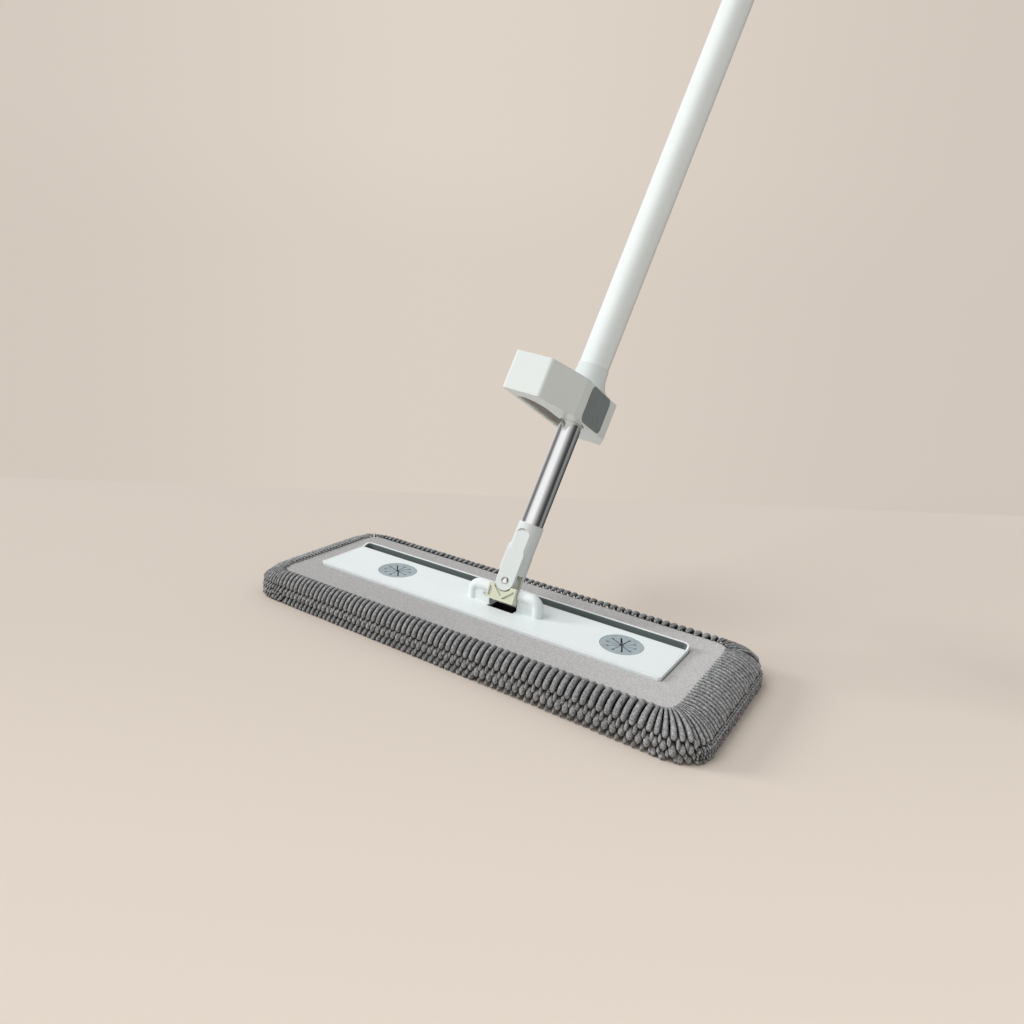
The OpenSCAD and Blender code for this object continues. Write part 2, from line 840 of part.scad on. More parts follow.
module fork_rivet() {
    color(c_steel)
    at_fork()
    rotate([90, 0, 0]) union() {
        translate([0, 0, -fork_depth / 2]) cylinder(r = rivet_d / 2, h = fork_depth);
        rivet_head();
        mirror([0, 0, 1]) rivet_head();
    }
}

module pipe(r_out, r_in, length) {
    difference() {
        cylinder(r = r_out, h = length);
        translate([0, 0, -past]) cylinder(r = r_in, h = length + 2 * past);
    }
}

module steel_tube() {
    color(c_steel) at_fork() translate([0, 0, steel_bottom]) pipe(steel_r, steel_bore_r, steel_tube_length);
}

// Guide on the steel tube's top end; it runs inside the white tube
module top_guide() {
    color(c_cream)
    at_fork() translate([0, 0, steel_top]) union() {
        translate([0, 0, -guide_plug]) cylinder(r = steel_bore_r - seat, h = guide_plug + guide_flange);
        cylinder(r = outer_bore_r - running, h = guide_flange);
    }
}

// Wringer outlines: x is the depth from the tube's axis, y the length along the fork pin
wringer_corners = [
    [-wringer_depth, -wringer_length / 2],
    [0, -wringer_length / 2],
    [hump_depth, -hump_length / 2],
    [hump_depth, hump_length / 2],
    [0, wringer_length / 2],
    [-wringer_depth, wringer_length / 2]];
slot_corners = [
    [-slot_far, -slot_length / 2 + slot_end_in],
    [-slot_far + slot_bulge, -slot_length / 2],
    [-slot_near - slot_taper[0], -slot_length / 2 + slot_taper[1]],
    [-slot_near, -slot_length / 2 + slot_taper_length],
    [-slot_near, slot_length / 2 - slot_taper_length],
    [-slot_near - slot_taper[0], slot_length / 2 - slot_taper[1]],
    [-slot_far + slot_bulge, slot_length / 2],
    [-slot_far, slot_length / 2 - slot_end_in]];

module wringer_outline(inward) {
    polygon(rounded(inset(wringer_corners, inward), max(corner_r - inward, least_corner_r), corner_steps));
}

module slot_outline(outward) {
    polygon(rounded(inset(slot_corners, -outward), slot_corner_r, slot_corner_steps));
}

module through_holes(outward) {
    slot_outline(outward);
    circle(r = steel_r + tube_clear + outward);
}

module wringer_screw_holes(r) {
    for (side = [-1, 1]) {
        translate([wringer_screw_w, side * wringer_screw_s]) circle(r = r);
        translate([-wringer_screw_w / 4, side * (wringer_screw_s - wringer_screw_step)]) circle(r = r);
    }
}

module wringer_body() {
    color(c_shell)
    at_wringer()
    difference() {
        union() {
            linear_extrude(plate_thickness) wringer_outline(0);
            linear_extrude(wringer_height) difference() {
                wringer_outline(0);
                wringer_outline(wringer_wall);
            }
            linear_extrude(cover_z) through_holes(duct_wall);
            linear_extrude(cover_z) wringer_screw_holes(wringer_boss_r);
        }
        translate([0, 0, -past]) linear_extrude(wringer_height + 2 * past) through_holes(0);
        translate([0, 0, cover_z - wringer_screw_length]) linear_extrude(wringer_height)
            wringer_screw_holes(screw_r + seat);
        translate([hump_depth - patch_depth, 0, wringer_height / 2]) rotate([0, 90, 0])
            linear_extrude(wringer_wall) patch_outline(patch_play);
    }
}

module patch_outline(out) {
    rounded_rect(wringer_height - 2 * patch_margin + 2 * out, patch_length + 2 * out, patch_r + out);
}

module grip_patch() {
    color(c_patch)
    at_wringer()
    translate([hump_depth - patch_depth, 0, wringer_height / 2]) rotate([0, 90, 0])
        linear_extrude(patch_depth + patch_proud) patch_outline(0);
}

// Flared foot of the collar that holds the white tube
function flare_line() = [
    for (a = [270 : -flare_turn : 180])
        [outer_r + collar_wall + flare_reach * (1 + cos(a)), flare_height * (1 + sin(a))]];

module wringer_cover() {
    color(c_shell)
    at_wringer()
    difference() {
        union() {
            translate([0, 0, cover_z]) linear_extrude(plate_thickness)
                wringer_outline(wringer_wall + cover_play);
            intersection() {
                translate([0, 0, wringer_height]) rotate_extrude()
                    polygon(concat([[0, 0]], flare_line(), [[0, flare_height]]));
                translate([0, 0, wringer_height]) linear_extrude(flare_height)
                    wringer_outline(flare_inset);
            }
        }
        translate([0, 0, cover_z - past]) linear_extrude(plate_thickness + flare_height + 2 * past)
            slot_outline(0);
        translate([0, 0, cover_z - past]) cylinder(r = steel_r + tube_clear, h = flare_height);
        translate([0, 0, wringer_height - bush_sink])
            cylinder(r = outer_r + seat, h = flare_height + 2 * past);
        translate([0, 0, cover_z - past]) linear_extrude(plate_thickness + 2 * past)
            wringer_screw_holes(screw_r + screw_play);
        translate([0, 0, wringer_height - wringer_head_sink]) linear_extrude(plate_thickness)
            wringer_screw_holes(screw_head_r + screw_play);
    }
}

module wringer_screws() {
    head_z = wringer_height - wringer_head_sink;
    tip_z = cover_z - wringer_screw_length + head_play;
    color(c_steel)
    at_wringer() union() {
        translate([0, 0, head_z]) linear_extrude(wringer_head_h) wringer_screw_holes(screw_head_r);
        translate([0, 0, tip_z]) linear_extrude(head_z - tip_z + wringer_head_h / 2)
            wringer_screw_holes(screw_r);
    }
}

// Scraper blades on both long sides of the slot
module blade(x, y0, y1) {
    height = wringer_height - plate_thickness - 2 * blade_gap;
    translate([x, y0, blade_gap]) cube([blade_thickness, y1 - y0, height]);
}

module far_blade() {
    reach = slot_length / 2 - slot_end_in - blade_end;
    color(c_rubber) at_wringer() blade(-slot_far + seat, -reach, reach);
}

module near_blades() {
    reach = slot_length / 2 - near_blade_end;
    start = steel_r + tube_clear + blade_end;
    color(c_rubber)
    at_wringer() union() {
        blade(-slot_near - blade_thickness - seat, start, reach);
        blade(-slot_near - blade_thickness - seat, -reach, -start);
    }
}

// Bush in the white tube's foot; it runs on the steel tube and holds the friction ring
module guide_bush() {
    flange_z = wringer_height - bush_sink;
    color(c_cream)
    at_wringer()
    difference() {
        union() {
            translate([0, 0, flange_z]) cylinder(r = outer_r - seat, h = bush_flange);
            translate([0, 0, flange_z]) cylinder(r = outer_bore_r - seat, h = bush_length);
        }
        translate([0, 0, flange_z - past]) cylinder(r = steel_r + running, h = bush_length + 2 * past);
        translate([0, 0, flange_z + bush_length / 2]) ring_groove();
    }
}

function groove_r() = steel_r + running + 2 * ring_r - ring_bite;

module ring_groove() {
    translate([0, 0, -ring_r]) cylinder(r = groove_r(), h = 2 * ring_r);
}

module friction_ring() {
    color(c_dark)
    at_wringer() translate([0, 0, wringer_height - bush_sink + bush_length / 2])
    difference() {
        translate([0, 0, ring_play - ring_r]) cylinder(r = groove_r() - seat, h = 2 * (ring_r - ring_play));
        translate([0, 0, -2 * ring_r]) cylinder(r = steel_r + ring_bore_play, h = 4 * ring_r);
    }
}

module outer_tube() {
    color(c_white) at_fork() translate([0, 0, outer_bottom]) pipe(outer_r, outer_bore_r, outer_tube_length);
}

// Ribbed hand grip on the white tube's top end
module hand_grip() {
    ring_step = (grip_length - 2 * grip_end) / grip_rings;
    color(c_patch)
    at_fork() translate([0, 0, outer_top - grip_length])
    difference() {
        union() {
            cylinder(r = grip_d / 2 - grip_groove, h = grip_length);
            cylinder(r = grip_d / 2, h = grip_end);
            for (i = [1 : grip_rings]) {
                translate([0, 0, grip_end + i * ring_step - ring_step / 2])
                    cylinder(r = grip_d / 2, h = ring_step / 2);
            }
        }
        translate([0, 0, -past]) cylinder(r = outer_r + seat, h = grip_length + 2 * past);
    }
}

// End cap with a flat eye and the hanging hole
module end_cap() {
    half = eye_thickness / 2;
    color(c_white)
    at_fork() translate([0, 0, outer_top])
    difference() {
        union() {
            translate([0, 0, -cap_plug]) cylinder(r = outer_bore_r - seat, h = cap_plug);
            cylinder(r = grip_d / 2 - cap_step, h = cap_flange);
            translate([-eye_r, -half, cap_flange / 2])
                cube([2 * eye_r, eye_thickness, eye_rise - cap_flange / 2]);
            translate([0, half, eye_rise]) rotate([90, 0, 0]) cylinder(r = eye_r, h = eye_thickness);
        }
        translate([0, half + past, eye_rise]) rotate([90, 0, 0])
            cylinder(r = hang_hole_d / 2, h = eye_thickness + 2 * past);
    }
}

pad_core();
chenille_sole();
chenille_front();
chenille_back();
chenille_left();
chenille_right();
pad_pocket();
base_board();
deck_frame();
deck_panel();
channel_liner();
left_gripper();
right_gripper();
deck_screws();
tilt_pin();
pin_set_screw();
swivel_block();
pivot_bush();
fork_connector();
fork_rivet();
steel_tube();
top_guide();
wringer_body();
wringer_cover();
wringer_screws();
far_blade();
near_blades();
grip_patch();
guide_bush();
friction_ring();
outer_tube();
hand_grip();
end_cap();
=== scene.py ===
"""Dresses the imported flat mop: chenille, pocket cloth, plastics, steel, light and camera.

In metres, apart from the sizes that a comment gives in millimetres. X runs along the head, -Y is
its front, Z is up, and the floor is z = 0.
"""

import json
import math
import random

import bpy
import numpy as np
from mathutils import Matrix, Vector, noise

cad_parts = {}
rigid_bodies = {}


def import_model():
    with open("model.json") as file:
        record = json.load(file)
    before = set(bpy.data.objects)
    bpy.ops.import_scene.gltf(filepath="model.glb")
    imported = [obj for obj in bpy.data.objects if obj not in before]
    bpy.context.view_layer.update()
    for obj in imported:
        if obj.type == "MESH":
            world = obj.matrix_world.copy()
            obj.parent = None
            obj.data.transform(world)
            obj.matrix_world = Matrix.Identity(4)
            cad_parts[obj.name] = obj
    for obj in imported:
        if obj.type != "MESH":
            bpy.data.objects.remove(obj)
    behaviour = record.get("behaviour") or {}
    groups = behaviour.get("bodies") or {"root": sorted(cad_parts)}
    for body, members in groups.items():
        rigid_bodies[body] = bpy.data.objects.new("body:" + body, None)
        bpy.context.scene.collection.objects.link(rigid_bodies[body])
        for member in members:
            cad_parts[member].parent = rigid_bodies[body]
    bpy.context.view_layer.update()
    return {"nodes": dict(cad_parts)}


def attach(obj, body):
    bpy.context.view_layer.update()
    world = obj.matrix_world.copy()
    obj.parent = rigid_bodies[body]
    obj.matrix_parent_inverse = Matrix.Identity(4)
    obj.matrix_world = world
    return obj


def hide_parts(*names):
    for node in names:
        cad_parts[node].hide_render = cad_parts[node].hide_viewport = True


MM = 0.001

# Sizes of the head, as in the CAD source, in millimetres
CORE_LENGTH = 368
CORE_WIDTH = 124
CORE_CORNER = 14
BOARD_LENGTH = 344
BOARD_WIDTH = 100
BOARD_BOTTOM = 17.4
BOARD_CORNER = 12
WINDOW = (-164.6, 159.6, -29.6, 34.6)
WINDOW_FRONT_CORNER = 3.1
WINDOW_BACK_CORNER = 6.6

# Steps of the rounded outlines and of the smooth lines
ARC_STEPS = 14
LONG_STEPS = 60
SHORT_STEPS = 20
SPAN_STEPS = 12

# Star-cut discs, left and right, in millimetres, with turns in degrees
DISC_X = (-101.2, 115.8)
DISC_Y = 1
DISC_R = 16.9
DISC_TOP = 26.95
DISC_SKIN = 0.5
DISC_DISH = 0.3
DISC_EDGE = 0.5
DISC_EDGE_DROP = 1.2
DISC_RINGS = (1.6, 2.2, 3.0, 5.0, 7.5, 9.5)
DISC_RIM_INSETS = (3, 1.4, 0.5, 0.1, 0)
DISC_FLOOR_DEPTHS = (2.4, 0.95)
DISC_FLOOR_INSET = 0.05
DISC_TURN = (22, 6.5)
SLITS = 10
SLIT_COLUMNS = 8
SLIT_END = 11.0
SLIT_HOLE = 0.95
HOLE_ANGLES = (-75, -45, -15, 15, 45, 75, 90)
SLIT_THIN = 0.3
SLIT_WIDE = 0.95
SLIT_TAPER = 0.03
SLIT_CLOSED = 0.02
WIDE_SLITS = ((3, 8), (2, 3, 8))

# The skirt's outer outline, as reaches past the core, in millimetres. The front's reach grows with
# the share of the length by these factors of the share and of its square.
LEFT_REACH = 22
RIGHT_REACH = 27.3
FRONT_REACH = (12.8, 21.5)
FRONT_GROWTH = (0.35, 0.65)
BACK_REACH = (14, 19)
OUTER_CORNER = 27
MOST_REACH = 70
HALVINGS = 24

# Pitches of the fingers at their roots, in millimetres, first and last where they change. A corner
# has a count and the change of its pitch, as a share.
FRONT_PITCH = (4.4, 6.2)
BACK_PITCH = (4.9, 7.0)
LEFT_PITCH = 3.9
RIGHT_PITCH = 4.6
CORNER_FINGERS = {"front_right": (12, 0.3), "back_right": (14, -0.15), "back_left": (14, 0.1),
                  "front_left": (14, 0)}

# Lines of the long fingers as (share of the reach, height, share of the crest) and of the end ribs
# as (share of the reach, height), in millimetres, each with its root
LONG_END = 15.6
LONG_ROOT = (-2.4, 24.7)
LONG_LINE = ((0.08, 25.4, 1), (0.34, 24.9, 0.6), (0.6, 22.6, 0), (0.79, 19.2, 0),
             (0.875, LONG_END, 0))
RIB_ROOT = (-4.0, 24.75)
RIB_LINE = ((0.0, 25.1), (0.3, 24.0), (0.56, 20.8), (0.76, 16.4), (0.87, 12.2))
RIB_TIP_HEIGHTS = (8.2, 5.6, 3.0, 0.5)
RIB_KNOTS = {"right": 0.07, "left": 0.18}

# Tips: where they begin, and how far their line lies above its bend, in millimetres
TIP_ROOT = 1.2
TIP_RISE = (0.6, 0.4)

# Rows of tips under the long fingers: their pitch as a share of the room between the fingers at a
# share of the reach, insets and heights in millimetres, and the droop at the usual step between
# rows in degrees, with its change for each millimetre more
ROW_ROOM_AT = 0.9
ROW_ROOM_SHARE = 0.8
LEAST_ROWS = 3
ROW_INSET = 0.9
LAST_ROW_INSET = 1.8
ROW_THICK = 2.5
LAST_ROW_THICK = 1.9
LOWEST_ROW = 0.4
ROW_OVERLAP = 1.6
ROW_DROOP = 55
ROW_DROOP_CHANGE = 6
USUAL_STEP = 4

# Half widths of the fingers as a share of the room that each has
FRONT_FILL = 0.4
BACK_FILL = 0.33
TIP_FILL = 0.48
RIB_FILL = 0.36
RIB_TIP_FILL = 0.25

# Half heights of the fingers, in millimetres
FRONT_THICK = 2.3
BACK_THICK = 1.5
RIB_THICK = 2.4
BACK_CREST = (-1.2, 0.0)

# How far fingers differ by chance: length and width as shares, the rest in millimetres
CHANCE_LENGTH = 0.02
CHANCE_LEAN = 0.12
CHANCE_RISE = 0.15
CHANCE_WIDTH = (0.96, 1.03)
KNOT_STEP = 3.4
LUMPS = ((0.5, 0.25), (1.4, 0.22))
LEAST_HEIGHT = 0.05
SKIRT_SEED = 11

# Which corner fingers belong to the ends, by how far sideways they point
FRONT_SIDEWAYS = 0.8
BACK_SIDEWAYS = 0.85
CORD_SIDEWAYS = 0.75

# Edge cords of the ends as (inward from the reach, height, radius), in millimetres, with the twist
# as (share of the radius, radians for each millimetre) and the ends' taper and least share
CORDS = ((3.1, 11.4, 0.6), (1.9, 9.6, 0.6))
CORD_SINK = 3.5
CORD_SINK_SPOTS = 3
CORD_TWIST = (0.12, 2.4)
CORD_TAPER = 3
CORD_POINT = 0.05

# Sole loops, in millimetres
SOLE_PITCH = 6.6
SOLE_ROW_PITCH = SOLE_PITCH * 0.87
SOLE_INSET = (3, 2.6)
SOLE_CORNER_INSET = 2.4
SOLE_LEAN = 1.6
SOLE_HEIGHTS = (8.5, 5.0, 0.3)
SOLE_RADIUS = 2.9
SOLE_RINGS = 8
SOLE_SEED = 53

# Profiles as (outward from the core or the board, height), in millimetres
FELT_OUT = 2.6
FELT_PROFILE = ((-1, 11.9), (FELT_OUT - 0.5, 12), (FELT_OUT, 12.8), (FELT_OUT, 22.8), (1.2, 23.7),
                (-0.6, 23.2))
RECESS_PROFILE = ((0.9, 23.1), (0.4, 22.7), (0.35, BOARD_BOTTOM - 0.1))
BACKING_PROFILE = ((-1.5, 4.6), (0.6, 5.2), (1.2, 6.4), (1.2, 10.4), (0.4, 11.4), (-1.5, 11.6))

# Pocket cloth: heights by the share of the way from its outer edge to the window, in millimetres,
# and its unevenness as (height, scale along X, scale along Y, offset)
CLOTH_OUT = -0.5
CLOTH_EDGE = ((0.0, 23.35), (0.004, 24.1), (0.02, 24.5))
CLOTH_TOP = 24.55
CLOTH_TOP_SHARES = (0.02, 0.95)
CLOTH_TOP_STEPS = 14
CLOTH_HEM = ((0.99, 24.5), (1.0, 24.2), (1.0, 23.35), (0.5, 23.3))
CLOTH_UNEVEN_ABOVE = 24.3
CLOTH_UNEVEN = ((0.22, 0.035, 0.05, 1.7), (0.1, 0.12, 0.16, 4.1))

# Camera: fitted to the photo, focal length in pixels of a 1024 pixel frame
CAMERA_PLACE = (0.3146, -0.51829, 0.29521)
CAMERA_AZIMUTH = 30.37
CAMERA_ELEVATION = 17.32
CAMERA_ROLL = 4.89
CAMERA_CLIP = (0.01, 100)
FOCAL_PIXELS = 800.07
FRAME_PIXELS = 1024
SENSOR = 36

# Light: the share that comes from all round, and two suns as (left, front, up, angle, share)
AMBIENT = 0.54
HIGH_SUN = (0.6, 0.16, 0.78, 36, 0.3)
LOW_SUN = (0.93, -0.12, 0.38, 16, 0.18)

# The studio that gloss sees, as (share of a turn, level), and the place that it is seen from
STUDIO_LEVELS = ((0.0, 0.8), (0.07, 0.75), (0.13, 0.4), (0.205, 0.15), (0.25, 0.35), (0.29, 0.85),
                 (0.34, 1.0), (0.465, 1.0), (0.5, 0.68), (0.55, 0.4), (0.6, 0.14), (0.655, 0.04),
                 (0.685, 0.07), (0.72, 0.28), (0.75, 0.25), (0.81, 0.12), (0.86, 0.05),
                 (0.93, 0.05), (0.96, 0.7), (1.0, 0.8))
STUDIO_CENTRE = (0.02, 0.04)

# Floor, and where it meets the wall behind: a direction across the floor and a distance
FLOOR_HALF = 30
FLOOR_DEPTHS = (-0.36, 0.4)
FLOOR_TONES = ((0.0, (0.765, 0.675, 0.592)), (0.42, (0.68, 0.603, 0.53)),
               (1.0, (0.66, 0.59, 0.52)))
SEAM_TURN = 39.95
SEAM_DISTANCE = 0.4
SEAM_BLEND = (-0.002, 0.006)

# Wall: tones from left to right, high up and at its foot, and the rise over which they blend
WALL_SIDE = 34
WALL_STOPS = (0.0, 0.4, 1.0)
WALL = ((0.65, 0.582, 0.512), (0.72, 0.643, 0.565), (0.625, 0.559, 0.491))
WALL_FOOT = ((0.638, 0.571, 0.501), (0.69, 0.617, 0.542), (0.622, 0.556, 0.489))
WALL_RISE = 0.12

# Colours of the object, linear
CHENILLE_DARK = (0.205, 0.206, 0.208)
CHENILLE_LIGHT = (0.545, 0.548, 0.553)
# Near-black felt core and sole backing: painted shade, so that the gaps between the fingers look
# black
GAP_SHADE_BLACK = (0.012, 0.012, 0.013)
GAP_SHADE_LIGHTER = 2.5
FABRIC_DARK = (0.34, 0.33, 0.325)
FABRIC_LIGHT = (0.61, 0.597, 0.588)
WHITE = (0.785, 0.838, 0.838)
# Paler tones along the moulded edges: painted highlights
WHITE_EDGE_HIGHLIGHT = (0.95, 0.97, 0.97)
# The deck's white plastic darkened for the connector: painted shade
CONNECTOR_SHADED_WHITE = (0.67, 0.715, 0.7)
SHELL = (0.72, 0.775, 0.76)
SHELL_EDGE_HIGHLIGHT = (0.86, 0.89, 0.87)
TUBE = (0.8, 0.855, 0.85)
IVORY = (0.64, 0.66, 0.52)
PATCH = (0.19, 0.226, 0.24)
BLADE = (0.42, 0.39, 0.35)
DISC = (0.36, 0.43, 0.46)
# Near-black plate under each disc: painted shade seen through its slits
DISC_SHADE_WELL = (0.012, 0.014, 0.015)
CHANNEL = (0.13, 0.16, 0.155)
BOARD = (0.012, 0.013, 0.014)
POLISHED = (0.9, 0.9, 0.9)
BRUSHED = (0.66, 0.66, 0.68)

# Chenille's level along the head, as (share from left to right, level)
CHENILLE_HALF = 0.21
CHENILLE_LEVELS = ((0.0, 0.9), (0.2, 0.86), (0.5, 0.76), (0.84, 0.7), (0.93, 0.84), (1.0, 1.0))

# A wave texture of this scale has one band for each 0.9 mm thread
THREAD_SCALE = 0.314 / (0.9 * MM)


# Shader nodes
def shader(name, **sockets):
    """A new material with one Principled shader; constants go straight on its sockets."""
    material = bpy.data.materials.new(name)
    material.use_nodes = True
    tree = material.node_tree
    principled = tree.nodes["Principled BSDF"]
    for socket, value in sockets.items():
        principled.inputs[socket.replace("_", " ")].default_value = value
    return material, tree, principled


def connect(tree, node, **sources):
    """Links sources to the sockets of a node that they are named after."""
    for socket, source in sources.items():
        tree.links.new(source, node.inputs[socket.replace("_", " ")])


def feed(tree, socket, value):
    """Sets a socket to a constant, or links it to another node's output."""
    if isinstance(value, (int, float, tuple)):
        socket.default_value = value
    else:
        tree.links.new(value, socket)


def rgba(colour):
    return (*colour, 1.0)


def scaled(colour, level):
    return tuple(level * c for c in colour)


def object_coordinates(tree, stretch=(1, 1, 1)):
    place = tree.nodes.new("ShaderNodeTexCoord")
    mapping = tree.nodes.new("ShaderNodeMapping")
    mapping.inputs["Scale"].default_value = stretch
    tree.links.new(place.outputs["Object"], mapping.inputs["Vector"])
    return mapping.outputs["Vector"]


def separate(tree, vector):
    node = tree.nodes.new("ShaderNodeSeparateXYZ")
    tree.links.new(vector, node.inputs["Vector"])
    return node.outputs


def noise_texture(tree, vector, scale, detail, roughness=0.5):
    node = tree.nodes.new("ShaderNodeTexNoise")
    node.inputs["Scale"].default_value = scale
    node.inputs["Detail"].default_value = detail
    node.inputs["Roughness"].default_value = roughness
    tree.links.new(vector, node.inputs["Vector"])
    return node.outputs["Fac"]


def voronoi_texture(tree, vector, scale):
    node = tree.nodes.new("ShaderNodeTexVoronoi")
    node.inputs["Scale"].default_value = scale
    tree.links.new(vector, node.inputs["Vector"])
    return node.outputs["Distance"]


def ramp(tree, value, stops, smooth=False):
    """A colour ramp from (place, colour) stops."""
    node = tree.nodes.new("ShaderNodeValToRGB")
    elements = node.color_ramp.elements
    while len(elements) < len(stops):
        elements.new(0.5)
    for element, (place, colour) in zip(elements, stops):
        element.position = place
        element.color = rgba(colour)
    if smooth:
        node.color_ramp.interpolation = "EASE"
    tree.links.new(value, node.inputs["Fac"])
    return node.outputs["Color"]


def grey_ramp(tree, value, levels):
    return ramp(tree, value, [(place, (level,) * 3) for place, level in levels])


def rescale(tree, value, to, since=(0.0, 1.0)):
    """Maps the range since to the range to, clamped."""
    node = tree.nodes.new("ShaderNodeMapRange")
    for end, (source, target) in zip(("Min", "Max"), zip(since, to)):
        node.inputs[f"From {end}"].default_value = source
        node.inputs[f"To {end}"].default_value = target
    tree.links.new(value, node.inputs["Value"])
    return node.outputs["Result"]


def combine(tree, operation, *values):
    node = tree.nodes.new("ShaderNodeMath")
    node.operation = operation
    for socket, value in zip(node.inputs, values):
        feed(tree, socket, value)
    return node.outputs["Value"]


def weigh(tree, first, first_share, second, second_share):
    """The sum of two values, each times its share."""
    return combine(tree, "ADD", combine(tree, "MULTIPLY", first, first_share),
                   combine(tree, "MULTIPLY", second, second_share))


def blend(tree, share, a, b, mode="MIX"):
    """Colour a, and b in its place as share goes from 0 to 1."""
    node = tree.nodes.new("ShaderNodeMix")
    node.data_type = "RGBA"
    node.blend_type = mode
    for socket, value in (("Factor", share), ("A", a), ("B", b)):
        feed(tree, node.inputs[socket], value)
    return node.outputs["Result"]


def bump(tree, height, distance, strength, under=None):
    """Relief of a height in millimetres, over another normal where under is given."""
    node = tree.nodes.new("ShaderNodeBump")
    node.inputs["Distance"].default_value = distance * MM
    node.inputs["Strength"].default_value = strength
    tree.links.new(height, node.inputs["Height"])
    if under is not None:
        tree.links.new(under, node.inputs["Normal"])
    return node.outputs["Normal"]


def soft_edge(tree, radius):
    """Rounds the shading of sharp edges, as a moulded edge looks; radius in millimetres."""
    node = tree.nodes.new("ShaderNodeBevel")
    node.samples = 6
    node.inputs["Radius"].default_value = radius * MM
    return node.outputs["Normal"]


# Materials
def moulded(name, colour, gloss, grain, edge, coat=0.0, edge_highlight=None):
    """Moulded plastic or paint: slight drift of tone, uneven gloss, fine grain, and edges that are
    rounded by edge millimetres, with a paler colour along them as a painted highlight where one is
    given."""
    material, tree, principled = shader(name, Coat_Weight=coat, Coat_Roughness=0.12)
    place = object_coordinates(tree)
    drift = noise_texture(tree, place, scale=28, detail=2)
    lighter = tuple(min(1.0, 1.01 * c) for c in colour)
    tone = ramp(tree, drift, ((0.3, scaled(colour, 0.985)), (0.7, lighter)))
    rounded = soft_edge(tree, edge)
    # Painted highlight: the colour turns paler where the rounded shading normal leaves the true
    # normal, along the edges.
    if edge_highlight is not None:
        geometry = tree.nodes.new("ShaderNodeNewGeometry")
        likeness = tree.nodes.new("ShaderNodeVectorMath")
        likeness.operation = "DOT_PRODUCT"
        tree.links.new(rounded, likeness.inputs[0])
        tree.links.new(geometry.outputs["Normal"], likeness.inputs[1])
        highlight_share = rescale(tree, likeness.outputs["Value"], to=(1.0, 0.0), since=(0.9, 0.995))
        tone = blend(tree, highlight_share, tone, rgba(edge_highlight))
    uneven = noise_texture(tree, place, scale=160, detail=3)
    fine = noise_texture(tree, place, scale=2600, detail=2)
    connect(tree, principled, Base_Color=tone,
            Roughness=rescale(tree, uneven, to=(gloss - 0.02, gloss + 0.03)),
            Normal=bump(tree, fine, 0.05, grain, rounded))
    return material


def rubber(name, colour):
    """Matt rubber: cloudy tone, a slight sheen and fine pores."""
    material, tree, principled = shader(name, Sheen_Weight=0.12, Sheen_Roughness=0.5)
    place = object_coordinates(tree)
    cloud = noise_texture(tree, place, scale=120, detail=4)
    uneven = noise_texture(tree, place, scale=500, detail=2)
    pores = voronoi_texture(tree, place, scale=1800)
    connect(tree, principled,
            Base_Color=ramp(tree, cloud, ((0.3, scaled(colour, 0.85)), (0.7, colour))),
            Roughness=rescale(tree, uneven, to=(0.55, 0.75)),
            Normal=bump(tree, pores, 0.06, 0.12, soft_edge(tree, 0.3)))
    return material


def steel(name, colour, roughness, along):
    """Polished or brushed steel with fine marks stretched along one axis."""
    material, tree, principled = shader(name, Metallic=1.0)
    stretch = tuple(0.02 if axis == along else 1.0 for axis in range(3))
    marks = noise_texture(tree, object_coordinates(tree, stretch), scale=1500, detail=3)
    connect(tree, principled,
            Base_Color=ramp(tree, marks, ((0.35, scaled(colour, 0.95)), (0.65, colour))),
            Roughness=rescale(tree, marks, to=roughness),
            Normal=bump(tree, marks, 0.004, 0.03))
    return material


def chenille(name, dark, light):
    """Looped microfibre: mottled tufts about a millimetre across, no gloss, and painted shade
    darkening the creases by an occlusion node.
    """
    material, tree, principled = shader(name, Roughness=0.96, Sheen_Weight=0.2,
                                        Sheen_Roughness=0.5, Specular_IOR_Level=0.1)
    place = object_coordinates(tree)
    tufts = voronoi_texture(tree, place, scale=880)
    cloud = noise_texture(tree, place, scale=420, detail=4, roughness=0.7)
    fibre = noise_texture(tree, place, scale=1500, detail=3, roughness=0.7)
    middle = tuple(0.5 * (a + b) for a, b in zip(dark, light))
    colour = ramp(tree, weigh(tree, tufts, 0.4, cloud, 0.64),
                  ((0.36, light), (0.5, middle), (0.66, dark)))
    # Painted shade: an occlusion node darkens the colour in the creases between the fingers.
    painted_crease_shade = tree.nodes.new("ShaderNodeAmbientOcclusion")
    painted_crease_shade.samples = 6
    painted_crease_shade.inputs["Distance"].default_value = 3.0 * MM
    along = rescale(tree, separate(tree, place)["X"], to=(0.0, 1.0),
                    since=(-CHENILLE_HALF, CHENILLE_HALF))
    level = combine(tree, "MULTIPLY", grey_ramp(tree, along, CHENILLE_LEVELS),
                    rescale(tree, painted_crease_shade.outputs["AO"], to=(0.07, 1.0), since=(0.34, 0.9)))
    connect(tree, principled, Base_Color=blend(tree, 1.0, colour, level, mode="MULTIPLY"),
            Normal=bump(tree, weigh(tree, tufts, -0.8, fibre, 0.5), 0.5, 0.65))
    return material


